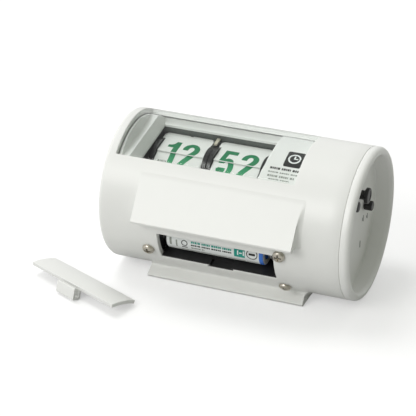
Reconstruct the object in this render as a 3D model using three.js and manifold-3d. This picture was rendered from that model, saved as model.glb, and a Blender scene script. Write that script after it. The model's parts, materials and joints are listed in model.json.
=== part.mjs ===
// Flip number clock: a cylinder casing lying on its back beside its open battery door.
// Millimetres, +Z up, the table at Z = 0, X along the casing axis with the controls at the +X end.
// Angles about the casing axis run from 0 at the front (-Y) through 90 at the top (+Z).

import * as THREE from 'three';
import { mergeVertices } from 'three/addons/utils/BufferGeometryUtils.js';
import Module from 'manifold-3d';

const wasm = await Module();
wasm.setup();

// ---- driving dimensions ----

const CASE = {
  radius: 37,
  inner: 34.5,
  left: -62.85,
  right: 62.85,
  seam: 58.2,
  fillet: 2.5,
  facets: 64,
};

const FOOT = {
  angle: -26.5,
  reach: 38.45,
  halfSpan: 22.17,
  edge: 1.6,
  leave: 63.6,
  left: -42.5,
  right: 37.5,
  innerReach: 29,
  rootReach: 23,
  rootAcross: 27.3,
  bury: 0.96,
};

const LENS = { low: 47, high: 120, left: -57.6, right: 32.1, wall: 1.7, gap: 0.25 };

const DISPLAY = {
  angle: 80,
  lipDepth: 22.8,
  baseDepth: 21.6,
  flatDepth: 28,
  left: -49.9,
  right: 10.8,
  bottom: -12.4,
  top: 20.1,
  flatLeft: -52.6,
  panelLeft: 14.4,
  wall: 1.2,
  endFoot: 1.6,
  endSlope: 0.16,
};

const SPLIT = { y: 0.9, z: 19.05 };

const LEAF = {
  length: 15.8,
  ear: 10.8,
  thick: 0.4,
  upperAngle: 171.7,
  lowerAngle: -28,
  lowerInset: 0.75,
  lowerStart: -0.5,
  bead: 0.25,
  corner: 2.2,
  clear: 0.4,
};

const DRUM = { pivot: 9.03, direction: 55.6, wheel: 10.3, hub: 6.2, bore: 1.5, ringIn: 6.8, ringOut: 7.45 };

const HOUR = {
  left: -47.6,
  right: -23.5,
  earLeft: -49.2,
  earRight: -23.5,
  wheelLeft: -50.4,
  wheelRight: -20.9,
  notched: true,
};

const MINUTE = {
  left: -18.1,
  right: 5.9,
  earLeft: -19.5,
  earRight: 7.2,
  wheelLeft: -20.5,
  wheelRight: 8.2,
  notched: false,
};

const PLATE = { left: -53.2, right: 9.3, thick: 1.5, radius: 33.2, depth: 21.2 };

const SHAFT = { radius: 1.2, left: -58.6, right: 53.7 };

const BATTERY = { radius: 7.25, left: -30.5, length: 50.5, centre: 26.9, angle: -20.9 };
const SPRING = { turns: 4.2, wire: 0.35, wide: 5.2, narrow: 2.8, away: 5.2, length: 4.4 };

const OPENING = {
  left: -32.3,
  right: 26.3,
  above: 7.75,
  below: 8.6,
  notchLeft: -8.4,
  notchRight: 4.3,
  notchBelow: 10.15,
};

const TRAY = {
  clear: 0.4,
  wall: 1.1,
  endWall: 1.2,
  behind: 2,
  springRoom: 6,
  lip: 0.7,
  lipDeep: 26,
  pocketFloor: 31,
};

const DOOR = {
  length: 58,
  halfChord: 7.6,
  wall: 1.8,
  tabWidth: 12.4,
  tabOut: 3.4,
  tabDrop: 6.4,
  tabWall: 1.3,
  x: -66.3,
  y: -47.7,
  yaw: -23.7,
  tilt: -13.6,
};

const END = { plateFace: 54, plateWall: 1.8, wallRadius: 33, sleeve: 34.2, lipDepth: 60.3 };

const KNOB = { disc: 3.9, stem: 2.3 };
const ALARM = { y: 15.4, z: 1.6, knob: 2.4 };
const BUTTON = { y: -4.4, z: 10.3, cap: 2.6 };
const SOUND = { y: 10.6, z: -17.5, radius: 8 };

const SCREWS = [
  { name: 'chassis_screw_1', x: -37.9, angle: -25.7 },
  { name: 'chassis_screw_2', x: 29.3, angle: -7.7 },
  { name: 'chassis_screw_3', x: 29.1, angle: -45.7 },
];

const GEARS = { reach: 15, carryAngle: 200, motorAngle: 270, face: 1.4 };
const TEETH = { pinion: 8, wheel: 32, hourWheel: 48 };
const LAYER = { coarse: -57.4, fine: -55.4, drive: 15.9, motor: 17.9, can: 21.6 };

const GAP = 0.3;

// How the leaves of a pack stand round their drum: [place on the drum, direction of the leaf].
const PACK_STOPS = [
  [55, 171.7],
  [85, 175],
  [153, 215],
  [200, 262],
  [243, 300],
  [300, 325],
  [333, 331],
  [400, 332],
];

// ---- small maths ----

const rad = (degrees) => (degrees * Math.PI) / 180;

// The point at a radius and casing angle, as [y, z] about a centre.
function polar(radius, angle, centre = [0, 0]) {
  return [centre[0] - radius * Math.cos(rad(angle)), centre[1] + radius * Math.sin(rad(angle))];
}

function arc(radius, from, to, steps, centre = [0, 0]) {
  const points = [];
  for (let i = 0; i <= steps; i++) {
    points.push(polar(radius, from + ((to - from) * i) / steps, centre));
  }
  return points;
}

const DRUM_AXIS = polar(-DRUM.pivot, DRUM.direction, [SPLIT.y, SPLIT.z]);
const CARRY_AXIS = polar(GEARS.reach, GEARS.carryAngle, DRUM_AXIS);
const MOTOR_AXIS = polar(GEARS.reach, GEARS.motorAngle, CARRY_AXIS);
const CELL_AXIS = polar(BATTERY.centre, BATTERY.angle);

// A point given by its reach along the foot direction and its offset across it.
function footPoint(reach, across) {
  return polar(across, FOOT.angle + 90, polar(reach, FOOT.angle));
}

// ---- solids ----

function flipIfInsideOut(geometry) {
  const position = geometry.getAttribute('position');
  const index = geometry.getIndex();
  const a = new THREE.Vector3();
  const b = new THREE.Vector3();
  const c = new THREE.Vector3();
  let volume = 0;
  for (let i = 0; i < index.count; i += 3) {
    a.fromBufferAttribute(position, index.getX(i));
    b.fromBufferAttribute(position, index.getX(i + 1));
    c.fromBufferAttribute(position, index.getX(i + 2));
    volume += a.dot(b.cross(c));
  }
  if (volume < 0) {
    for (let i = 0; i < index.count; i += 3) {
      const first = index.getX(i);
      index.setX(i, index.getX(i + 1));
      index.setX(i + 1, first);
    }
  }
  return geometry;
}

function solid(source) {
  const geometry = source.clone();
  geometry.deleteAttribute('normal');
  geometry.deleteAttribute('uv');
  const merged = flipIfInsideOut(mergeVertices(geometry, 1e-4));
  const mesh = new wasm.Mesh({
    numProp: 3,
    vertProperties: new Float32Array(merged.getAttribute('position').array),
    triVerts: new Uint32Array(merged.getIndex().array),
  });
  return new wasm.Manifold(mesh);
}

function geometryOf(manifold) {
  const mesh = manifold.getMesh();
  const geometry = new THREE.BufferGeometry();
  geometry.setAttribute('position', new THREE.BufferAttribute(mesh.vertProperties, 3));
  geometry.setIndex(new THREE.BufferAttribute(mesh.triVerts, 1));
  return geometry;
}

const joined = (...pieces) => pieces.reduce((whole, piece) => whole.add(piece));
const without = (whole, ...cuts) => cuts.reduce((rest, cut) => rest.subtract(cut), whole);

function box(x0, x1, y0, y1, z0, z1) {
  const geometry = new THREE.BoxGeometry(x1 - x0, y1 - y0, z1 - z0);
  geometry.translate((x0 + x1) / 2, (y0 + y1) / 2, (z0 + z1) / 2);
  return solid(geometry);
}

// A box whose own z points out along a casing angle and whose own y runs round the casing.
function turnedBox(angle, x0, x1, u0, u1, a0, a1) {
  return box(x0, x1, u0, u1, a0, a1).rotate([90 - angle, 0, 0]);
}

// A bar along X whose outline is a list of [y, z] points.
function prism(points, x0, x1, holes = []) {
  const shape = new THREE.Shape(points.map(([y, z]) => new THREE.Vector2(y, z)));
  for (const hole of holes) {
    shape.holes.push(new THREE.Path(hole.map(([y, z]) => new THREE.Vector2(y, z))));
  }
  const geometry = new THREE.ExtrudeGeometry(shape, { depth: x1 - x0, bevelEnabled: false });
  const toX = new THREE.Matrix4().makeBasis(
    new THREE.Vector3(0, 1, 0),
    new THREE.Vector3(0, 0, 1),
    new THREE.Vector3(1, 0, 0),
  );
  geometry.applyMatrix4(toX);
  geometry.translate(x0, 0, 0);
  return solid(geometry);
}

function rod(radius, x0, x1, centre = [0, 0], facets = 32) {
  const geometry = new THREE.CylinderGeometry(radius, radius, x1 - x0, facets);
  geometry.rotateZ(Math.PI / 2);
  geometry.translate((x0 + x1) / 2, centre[0], centre[1]);
  return solid(geometry);
}

// A rod that points out of the casing, from one radius to another, where a screw goes.
function radialRod(radius, from, to, { x, angle }) {
  const upright = rod(radius, -to, -from, [0, 0], 16).rotate([0, 90, 0]);
  return upright.translate([x, 0, 0]).rotate([90 - angle, 0, 0]);
}

// A body turned about the X axis from a profile of [radius, x] points.
function turning(profile, centre = [0, 0], facets = 48) {
  const points = profile.map(([radius, x]) => new THREE.Vector2(radius, x));
  const geometry = new THREE.LatheGeometry(points, facets);
  geometry.rotateZ(-Math.PI / 2);
  geometry.translate(0, centre[0], centre[1]);
  return solid(geometry);
}

// Part of a tube about the casing axis, between two angles.
function sector(inner, outer, low, high, x0, x1, steps = 24) {
  const outline = [...arc(outer, low, high, steps), ...arc(inner, high, low, steps)];
  return prism(outline, x0, x1);
}

// A block with a rectangle at each end of its depth, in the display's own frame.
function taperedBlock(low, lowDepth, high, highDepth) {
  const corners = [];
  for (const [rect, depth] of [[low, lowDepth], [high, highDepth]]) {
    for (const [x, u] of [[0, 0], [1, 0], [1, 1], [0, 1]]) {
      corners.push(rect[x], rect[2 + u], depth);
    }
  }
  const faces = [0, 2, 1, 0, 3, 2, 4, 5, 6, 4, 6, 7];
  for (let side = 0; side < 4; side++) {
    const next = (side + 1) % 4;
    faces.push(side, next, next + 4, side, next + 4, side + 4);
  }
  const geometry = new THREE.BufferGeometry();
  geometry.setAttribute('position', new THREE.Float32BufferAttribute(corners, 3));
  geometry.setIndex(faces);
  return solid(geometry).rotate([90 - DISPLAY.angle, 0, 0]);
}

const GEAR_TOOTH = { addendum: 0.7, dedendum: 1.1, tip: 0.42, foot: 1.0 };

function gearOutline(teeth, module, centre, phase) {
  const pitch = (teeth * module) / 2;
  const outer = pitch + GEAR_TOOTH.addendum * module;
  const root = pitch - GEAR_TOOTH.dedendum * module;
  const half = 90 / teeth;
  const points = [];
  for (let i = 0; i < teeth; i++) {
    const middle = phase + (360 * i) / teeth;
    points.push(polar(root, middle - half * GEAR_TOOTH.foot, centre));
    points.push(polar(outer, middle - half * GEAR_TOOTH.tip, centre));
    points.push(polar(outer, middle + half * GEAR_TOOTH.tip, centre));
    points.push(polar(root, middle + half * GEAR_TOOTH.foot, centre));
  }
  return points;
}

function gear(teeth, module, centre, x0, bore, phase) {
  const hole = arc(bore, 0, -345, 23, centre);
  return prism(gearOutline(teeth, module, centre, phase), x0, x0 + GEARS.face, [hole]);
}

// ---- the assembly ----

const clock = new THREE.Group();

const white = { color: 0xececea, roughness: 0.4, metalness: 0 };
const black = { color: 0x151516, roughness: 0.35, metalness: 0 };
const darkGrey = { color: 0x4a504a, roughness: 0.5, metalness: 0 };
const card = { color: 0xf2f2ee, roughness: 0.6, metalness: 0 };
const steel = { color: 0xb9b6ae, roughness: 0.3, metalness: 1 };
const brass = { color: 0xc9a34e, roughness: 0.35, metalness: 1 };
const acetal = { color: 0xe6e0cf, roughness: 0.45, metalness: 0 };
const acrylic = { color: 0xf4f8f7, roughness: 0.05, metalness: 0, transparent: true, opacity: 0.3 };
const cellSleeve = { color: 0xdfe3e2, roughness: 0.3, metalness: 0.3 };
const boardGreen = { color: 0x1f5c3a, roughness: 0.5, metalness: 0 };

function place(name, manifold, look) {
  const mesh = new THREE.Mesh(geometryOf(manifold), new THREE.MeshStandardMaterial(look));
  mesh.name = name;
  clock.add(mesh);
  return mesh;
}

// Moves the assembly so that the middle of its footprint, on the table, is the origin.
function standAtOrigin() {
  clock.updateMatrixWorld(true);
  const bounds = new THREE.Box3().setFromObject(clock, true);
  const middle = bounds.getCenter(new THREE.Vector3());
  clock.position.x -= middle.x;
  clock.position.y -= middle.y;
  clock.position.z -= bounds.min.z;
}

// ---- casing ----

function shellBody() {
  const { radius, inner, left, seam, fillet, facets } = CASE;
  const wall = radius - inner;
  const profile = [[0, left], [radius - fillet, left]];
  for (const step of [1, 2, 3]) {
    const turn = rad(step * 30);
    profile.push([radius - fillet + fillet * Math.sin(turn), left + fillet - fillet * Math.cos(turn)]);
  }
  profile.push([radius, seam], [inner, seam], [inner, left + wall], [0, left + wall]);
  return turning(profile, [0, 0], facets);
}

function fin(side) {
  const leaveReach = CASE.radius * Math.cos(rad(FOOT.leave));
  const leaveAcross = CASE.radius * Math.sin(rad(FOOT.leave));
  const innerAcross = FOOT.halfSpan - FOOT.edge;
  const outline = [
    [leaveReach, leaveAcross],
    [FOOT.reach, FOOT.halfSpan],
    [FOOT.reach, innerAcross],
    [FOOT.innerReach, innerAcross],
    [FOOT.rootReach, FOOT.rootAcross],
    [leaveReach * FOOT.bury, leaveAcross * FOOT.bury],
  ].map(([reach, across]) => footPoint(reach, side * across));
  return prism(outline, FOOT.left, FOOT.right);
}

// The lens opening, the battery opening with its latch notch, and the three screw holes.
function shellOpenings() {
  const lens = sector(30, 40, LENS.low, LENS.high, LENS.left, LENS.right);
  const { left, right, above, below, notchLeft, notchRight, notchBelow } = OPENING;
  const battery = turnedBox(BATTERY.angle, left, right, -below, above, 28, 42);
  const latch = turnedBox(BATTERY.angle, notchLeft, notchRight, -notchBelow, 0, 28, 42);
  const holes = SCREWS.map((screw) => radialRod(1.7, 30, 42, screw));
  return [lens, battery, latch, ...holes];
}

function mainShell() {
  const whole = joined(shellBody(), fin(1), fin(-1));
  return without(whole, ...shellOpenings());
}

function endCap() {
  const { radius, right, seam, fillet } = CASE;
  const { plateFace, plateWall, wallRadius, sleeve, lipDepth } = END;
  const middle = right - fillet;
  const profile = [
    [0, plateFace - plateWall],
    [sleeve, plateFace - plateWall],
    [sleeve, seam + GAP],
    [radius, seam + GAP],
    [radius, middle],
    [radius - 0.34, right - 1.25],
    [radius - 1.25, right - 0.34],
    [radius - fillet + 0.4, right],
    [radius - fillet, right],
    [wallRadius + 0.5, right - 0.7],
    [wallRadius, lipDepth],
    [wallRadius, plateFace],
    [0, plateFace],
  ];
  const cap = turning(profile, [0, 0], CASE.facets);
  const holes = [
    rod(1.8, 50, 56, DRUM_AXIS, 16),
    rod(1.6, 50, 56, [ALARM.y, ALARM.z], 16),
    rod(1.8, 50, 56, [BUTTON.y, BUTTON.z], 16),
    box(50, 56, SOUND.y - 0.4, SOUND.y + 0.4, SOUND.z - 1.9, SOUND.z + 1.9),
  ];
  return without(cap, ...holes);
}

function lensWindow() {
  const { low, high, left, right, wall, gap } = LENS;
  const turn = (gap / CASE.radius) * (180 / Math.PI);
  return sector(CASE.radius - wall, CASE.radius, low + turn, high - turn, left + gap, right - gap, 32);
}

// The bezel under the lens: an end wall and a flat shelf at the left, ramps down to the window's lip, and a
// raised panel at the right that follows the lens.
function displayMask() {
  const { angle, left, right, bottom, top } = DISPLAY;
  const { lipDepth, baseDepth, flatDepth, flatLeft, panelLeft, wall, endFoot, endSlope } = DISPLAY;
  const x0 = LENS.left + 0.4;
  const x1 = LENS.right - 0.5;
  const limit = CASE.inner - GAP;
  const slab = turnedBox(angle, x0, x1, -40, 40, baseDepth, 40);
  const block = rod(limit, x0, x1, [0, 0], CASE.facets).intersect(slab);
  const window = turnedBox(angle, left, right, bottom, top, 10, 40);
  const rampRun = flatDepth - lipDepth;
  const panelDepth = lipDepth + 2 * rampRun;
  const panelEdge = (depth) => right + ((panelLeft - right) * (depth - lipDepth)) / (panelDepth - lipDepth);
  const ramp = taperedBlock(
    [left, right, bottom, top],
    lipDepth,
    [2 * flatLeft - left, panelLeft, bottom - 14, top + 26],
    panelDepth,
  );
  const foot = x0 + endFoot;
  const overLeft = taperedBlock(
    [foot, panelEdge(flatDepth), -40, 40],
    flatDepth,
    [foot - endSlope * (40 - flatDepth), panelEdge(40), -40, 40],
    40,
  );
  const underPanel = rod(limit - wall, panelLeft + wall, x1 - wall, [0, 0], CASE.facets);
  const underShelf = turnedBox(angle, x0 + wall, flatLeft - 0.6, -40, 40, 10, flatDepth - wall);
  return without(block, window, overLeft, ramp, underPanel, underShelf);
}

// ---- battery door, loose on the table ----

function doorLeaf() {
  const { length, halfChord, wall, tabWidth, tabOut, tabDrop, tabWall } = DOOR;
  const half = (Math.asin(halfChord / CASE.radius) * 180) / Math.PI;
  const curve = sector(CASE.radius - wall, CASE.radius, 90 - half, 90 + half, -length / 2, length / 2, 8);
  const edge = CASE.radius * Math.cos(rad(half));
  const latch = [
    [-halfChord + 1.2, -wall + 0.3],
    [-halfChord + 1.2, -tabDrop + 0.8],
    [-halfChord + 0.4, -tabDrop],
    [-halfChord - tabOut + 0.8, -tabDrop],
    [-halfChord - tabOut, -tabDrop + 0.8],
    [-halfChord - tabOut, -0.2],
    [-halfChord - tabOut + tabWall, -0.2],
    [-halfChord - tabOut + tabWall, -tabDrop + tabWall],
    [-halfChord, -tabDrop + tabWall],
    [-halfChord, -wall + 0.3],
    [-halfChord + 0.2, -1.2],
    [-halfChord + 1.2, -1.0],
  ].map(([y, z]) => [y, edge + z]);
  return curve.add(prism(latch, -tabWidth / 2, tabWidth / 2)).translate([0, 0, -edge]);
}

function placeDoor() {
  const mesh = place('battery_door', doorLeaf(), white);
  mesh.rotation.order = 'ZYX';
  mesh.rotation.set(rad(DOOR.tilt), 0, rad(DOOR.yaw));
  mesh.position.set(DOOR.x, DOOR.y, 0);
  mesh.updateMatrix();
  const lowest = new THREE.Box3().setFromBufferAttribute(
    mesh.geometry.getAttribute('position').clone().applyMatrix4(mesh.matrix),
  ).min.z;
  mesh.position.z = -CASE.radius - lowest;
}

// ---- fasteners ----

function crossHeadScrew() {
  const shank = [[0, 30.4], [1.4, 30.4], [1.4, 37.15]];
  const head = [[3, 37.15], [3, 38], [2.5, 38.7], [1.5, 39.05], [0, 39.15]];
  const body = turning([...shank, ...head], [0, 0], 20).rotate([0, -90, 0]);
  const slot = box(-1.6, 1.6, -0.35, 0.35, 38.2, 40);
  const across = box(-0.35, 0.35, -1.6, 1.6, 38.2, 40);
  return without(body, slot, across);
}

function placeScrews() {
  for (const { name, x, angle } of SCREWS) {
    const mesh = place(name, crossHeadScrew(), steel);
    mesh.position.x = x;
    mesh.rotation.x = rad(90 - angle);
  }
}

// ---- battery bay ----

// The tray's lip along the lower side of the opening, with a pocket for the door's latch.
function trayLip() {
  const { left, right, below, notchLeft, notchRight, notchBelow } = OPENING;
  const { lip, lipDeep, pocketFloor } = TRAY;
  const edge = CASE.radius;
  const x0 = notchLeft + GAP;
  const x1 = notchRight - GAP;
  const inner = -below + GAP + lip;
  const strip = turnedBox(BATTERY.angle, left + GAP, right - GAP, -below + GAP, inner, lipDeep, edge);
  const pocket = turnedBox(BATTERY.angle, x0, x1, -notchBelow + GAP, inner, pocketFloor, edge);
  const low = -notchBelow + GAP + lip;
  const hollow = turnedBox(BATTERY.angle, x0 + lip, x1 - lip, low, inner + 1, pocketFloor + lip, edge + 1);
  const trim = rod(edge - GAP, left, right, [0, 0], CASE.facets);
  return without(strip.add(pocket).intersect(trim), hollow);
}

// A trough behind the cell with two end walls, three screw posts and the lip.
function batteryTray() {
  const { radius, left, length } = BATTERY;
  const inner = radius + TRAY.clear;
  const outer = inner + TRAY.wall;
  const x0 = left - TRAY.behind;
  const x1 = left + length + TRAY.springRoom;
  const ends = [[x0 - TRAY.endWall, x0], [x1, x1 + TRAY.endWall]];
  const section = [...arc(outer, 172, 248, 8, CELL_AXIS), ...arc(inner, 248, 172, 8, CELL_AXIS)];
  const trough = prism(section, ends[0][0], ends[1][1]);
  const walls = ends.map(([from, to]) => rod(inner + 0.1, from, to, CELL_AXIS, 24));
  const trim = rod(CASE.inner - GAP, x0 - 20, x1 + 20, [0, 0], CASE.facets);
  const posts = SCREWS.map((screw) => radialRod(2.5, 22, 34, screw));
  const bores = SCREWS.map((screw) => radialRod(1.75, 24, 42, screw));
  const arms = [
    turnedBox(SCREWS[0].angle, SCREWS[0].x - 0.6, x0, -2.4, 2.4, 22, 25),
    turnedBox(SCREWS[1].angle, x1, SCREWS[1].x + 1.2, -2.4, 2.4, 22, 25),
    turnedBox(SCREWS[2].angle, x1, SCREWS[2].x + 1.4, -2.4, 6, 22, 25),
  ];
  const body = joined(trough, ...walls, ...posts, ...arms).intersect(trim);
  return without(body.add(trayLip()), ...bores);
}

function batteryCell() {
  const { radius, left, length } = BATTERY;
  const right = left + length;
  const profile = [
    [0, left],
    [2.7, left],
    [2.7, left + 1.1],
    [radius - 0.6, left + 1.1],
    [radius, left + 1.7],
    [radius, right - 0.6],
    [radius - 0.6, right],
    [0, right],
  ];
  return turning(profile, CELL_AXIS, 32);
}

// A cone-shaped coil that narrows towards the cell.
class Coil extends THREE.Curve {
  getPoint(t) {
    const angle = SPRING.turns * 2 * Math.PI * t;
    const radius = SPRING.wide + (SPRING.narrow - SPRING.wide) * t;
    const x = BATTERY.left + BATTERY.length + SPRING.away - SPRING.length * t;
    const y = CELL_AXIS[0] + radius * Math.cos(angle);
    const z = CELL_AXIS[1] + radius * Math.sin(angle);
    return new THREE.Vector3(x, y, z);
  }
}

function batterySpring() {
  const wire = new THREE.Shape();
  wire.absarc(0, 0, SPRING.wire, 0, 2 * Math.PI, false);
  const options = { steps: 64, curveSegments: 2, bevelEnabled: false, extrudePath: new Coil() };
  return solid(new THREE.ExtrudeGeometry(wire, options));
}

function positiveContact() {
  const x = BATTERY.left - 1.7;
  return rod(4.2, x, x + 0.5, CELL_AXIS, 24).add(rod(1.9, x, x + 1.2, CELL_AXIS, 20));
}

// ---- movement frame ----

function framePlate(x0, shaftHole) {
  const x1 = x0 + PLATE.thick;
  const disc = rod(PLATE.radius, x0, x1, [0, 0], 48);
  const under = turnedBox(DISPLAY.angle, x0, x1, -40, 40, -40, PLATE.depth);
  const bay = rod(BATTERY.radius + 2.4, x0 - 1, x1 + 1, CELL_AXIS, 24);
  const bayMouth = turnedBox(BATTERY.angle, x0 - 1, x1 + 1, -9.65, 9.65, BATTERY.centre, 45);
  const hole = rod(shaftHole, x0 - 1, x1 + 1, DRUM_AXIS, 24);
  return without(disc.intersect(under), bay, bayMouth, hole);
}

const PILLARS = [
  { name: 'frame_pillar_1', angle: 183 },
  { name: 'frame_pillar_2', angle: 230 },
  { name: 'frame_pillar_3', angle: 290 },
];

function placeFrame() {
  place('left_frame_plate', framePlate(PLATE.left, 2.6), black);
  place('right_frame_plate', framePlate(PLATE.right, 2.6), black);
  const from = PLATE.left + PLATE.thick + GAP;
  const to = PLATE.right - GAP;
  for (const { name, angle } of PILLARS) {
    place(name, rod(1.5, from, to, polar(30.6, angle), 20), steel);
  }
}

// ---- leaf drums ----

// A hub with two wheels and a sleeve that runs out through a frame plate.
function drum(span, sleeveFrom, sleeveTo) {
  const leftWheel = rod(DRUM.wheel, span.wheelLeft, span.left - LEAF.clear, DRUM_AXIS, 48);
  const rightWheel = rod(DRUM.wheel, span.right + LEAF.clear, span.wheelRight, DRUM_AXIS, 48);
  const hub = rod(DRUM.hub, span.wheelLeft + 0.2, span.wheelRight - 0.2, DRUM_AXIS, 32);
  const sleeve = rod(2.2, sleeveFrom, sleeveTo, DRUM_AXIS, 20);
  const bore = rod(DRUM.bore, SHAFT.left, SHAFT.right, DRUM_AXIS, 20);
  return without(joined(leftWheel, rightWheel, hub, sleeve), bore);
}

// The upright direction of each leaf in the pack: held upright at the front, folding over at the top,
// hanging down at the back and underneath.
function packDirection(angle) {
  const next = PACK_STOPS.findIndex(([stop]) => angle <= stop);
  const [from, start] = PACK_STOPS[next - 1];
  const [to, end] = PACK_STOPS[next];
  return start + ((angle - from) / (to - from)) * (end - start);
}

// The leaves that wait behind the two that show, joined at their roots.
function leafPack(span, pitch) {
  const x0 = span.left + 0.15;
  const x1 = span.right - 0.15;
  const hole = rod(DRUM.ringIn, x0 - 1, x1 + 1, DRUM_AXIS, 40);
  let pack = without(rod(DRUM.ringOut, x0, x1, DRUM_AXIS, 40), hole);
  for (let angle = DRUM.direction + pitch; angle <= 370; angle += pitch) {
    const root = polar(DRUM.ringOut - 0.25, angle, DRUM_AXIS);
    const reach = LEAF.length + DRUM.pivot - DRUM.ringOut;
    const leaf = box(x0, x1, -0.15, 0.15, 0, reach).rotate([90 - packDirection(angle), 0, 0]);
    pack = pack.add(leaf.translate([0, root[0], root[1]]));
  }
  return pack;
}

// A card with ears near its free edge, drawn flat: across is X, up is the distance from the split line.
function leafShape(span, from) {
  const { length, ear, corner } = LEAF;
  const shape = new THREE.Shape();
  shape.moveTo(span.left, from);
  shape.lineTo(span.right, from);
  shape.lineTo(span.right, ear);
  shape.lineTo(span.earRight, ear);
  shape.lineTo(span.earRight, length - corner);
  shape.absarc(span.earRight - corner, length - corner, corner, 0, Math.PI / 2, false);
  if (span.notched) {
    const middle = (span.left + span.right) / 2;
    shape.absarc(middle, length, 0.8, 0, -Math.PI, true);
  }
  shape.absarc(span.earLeft + corner, length - corner, corner, Math.PI / 2, Math.PI, false);
  shape.lineTo(span.earLeft, ear);
  shape.lineTo(span.left, ear);
  return shape;
}

function leafPlate(span, from) {
  const options = { depth: LEAF.thick, bevelEnabled: false, curveSegments: 5 };
  const geometry = new THREE.ExtrudeGeometry(leafShape(span, from), options);
  geometry.translate(0, 0, -LEAF.thick / 2);
  return solid(geometry);
}

// The plate's own y turns to the leaf's direction, with its face outward.
function upperLeaf(span) {
  const plate = leafPlate(span, 0).rotate([180 - LEAF.upperAngle, 0, 0]);
  return plate.add(rod(LEAF.bead, span.left, span.right, [0, 0], 12));
}

function lowerLeaf(span) {
  const plate = leafPlate(span, LEAF.lowerStart);
  return plate.translate([0, 0, LEAF.lowerInset]).rotate([180 - LEAF.lowerAngle, 0, 0]);
}

function placeDrums() {
  place('hour_drum', drum(HOUR, -55.7, HOUR.wheelLeft + 1), black);
  place('minute_drum', drum(MINUTE, MINUTE.wheelRight - 1, LAYER.drive + 2), black);
  place('hour_leaf_pack', leafPack(HOUR, 15), card);
  place('minute_leaf_pack', leafPack(MINUTE, 10), card);
  for (const [name, span] of [['hour', HOUR], ['minute', MINUTE]]) {
    for (const mesh of [
      place(`${name}_upper_leaf`, upperLeaf(span), card),
      place(`${name}_lower_leaf`, lowerLeaf(span), card),
    ]) {
      mesh.position.set(0, SPLIT.y, SPLIT.z);
    }
  }
}

function placeFingers() {
  const { angle, top, baseDepth } = DISPLAY;
  const from = PLATE.left + PLATE.thick + GAP;
  const to = PLATE.right - GAP;
  place('finger_bar', turnedBox(angle, from, to, top + 0.5, top + 1.9, 17.5, baseDepth - GAP), darkGrey);
  const hook = (x0, x1) => turnedBox(angle, x0, x1, 15.3, top + 0.2, 18.7, 19.7);
  place('hour_finger', hook(-22.3, -20.7), acetal);
  place('minute_finger', hook(7.6, 8.8), acetal);
}

// ---- gears ----

// The module that lets two gears run at the common distance between axes.
const moduleOf = (teethA, teethB) => (2 * GEARS.reach) / (teethA + teethB);

// A pinion and a wheel in one piece, turning on a stud. Each meshes towards its own angle.
function doubleGear(first, second) {
  const [x0, x1] = [first.x, second.x];
  const link = rod(1.6, x0, x1 + 0.2, CARRY_AXIS, 20);
  const parts = [first, second].map(({ teeth, module, x, towards }) => {
    return gear(teeth, module, CARRY_AXIS, x, 1.2, towards + 180 / teeth);
  });
  return without(joined(link, ...parts), rod(1.2, x0 - 1, x1 + 3, CARRY_AXIS, 16));
}

function placeGears() {
  const { reach, carryAngle, motorAngle } = GEARS;
  const { pinion, wheel, hourWheel } = TEETH;
  const coarse = moduleOf(pinion, wheel);
  const fine = moduleOf(pinion, hourWheel);
  const back = carryAngle + 180;
  place('hour_gear', gear(hourWheel, fine, DRUM_AXIS, LAYER.fine, 2.45, carryAngle), brass);
  place('minute_pinion', gear(pinion, coarse, DRUM_AXIS, LAYER.coarse, 1.5, carryAngle), brass);
  place('minute_gear', gear(wheel, coarse, DRUM_AXIS, LAYER.drive, 2.45, carryAngle), brass);

  const carry = doubleGear(
    { teeth: wheel, module: coarse, x: LAYER.coarse, towards: back },
    { teeth: pinion, module: fine, x: LAYER.fine, towards: back },
  );
  place('carry_gear', carry, acetal);
  place('carry_stud', rod(0.9, -58.4, PLATE.left - GAP, CARRY_AXIS, 16), steel);

  const reduction = doubleGear(
    { teeth: pinion, module: coarse, x: LAYER.drive, towards: back },
    { teeth: wheel, module: coarse, x: LAYER.motor, towards: motorAngle },
  );
  place('reduction_gear', reduction, acetal);
  const studFrom = PLATE.right + PLATE.thick + GAP;
  place('reduction_stud', rod(0.9, studFrom, LAYER.motor + 2.2, CARRY_AXIS, 16), steel);

  const teeth = gearOutline(pinion, coarse, MOTOR_AXIS, motorAngle + 180);
  const rotor = prism(teeth, LAYER.motor, LAYER.motor + GEARS.face);
  place('motor_pinion', rotor.add(rod(0.8, LAYER.motor + 1, LAYER.can - GAP, MOTOR_AXIS, 16)), brass);
}

function placeShaft() {
  place('main_shaft', rod(SHAFT.radius, SHAFT.left, SHAFT.right, DRUM_AXIS, 24), steel);
}

function placeKnob() {
  const face = END.plateFace;
  const body = [
    [0, SHAFT.right + GAP],
    [1.4, SHAFT.right + GAP],
    [1.4, face + GAP],
    [KNOB.stem, face + GAP],
    [KNOB.stem, face + 3.2],
    [KNOB.disc - 0.3, face + 3.2],
    [KNOB.disc, face + 3.5],
    [KNOB.disc, face + 4.7],
    [KNOB.disc - 0.4, face + 5.1],
    [0, face + 5.1],
  ];
  place('time_set_knob', turning(body, DRUM_AXIS, 32), black);
}

// ---- alarm ----

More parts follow.
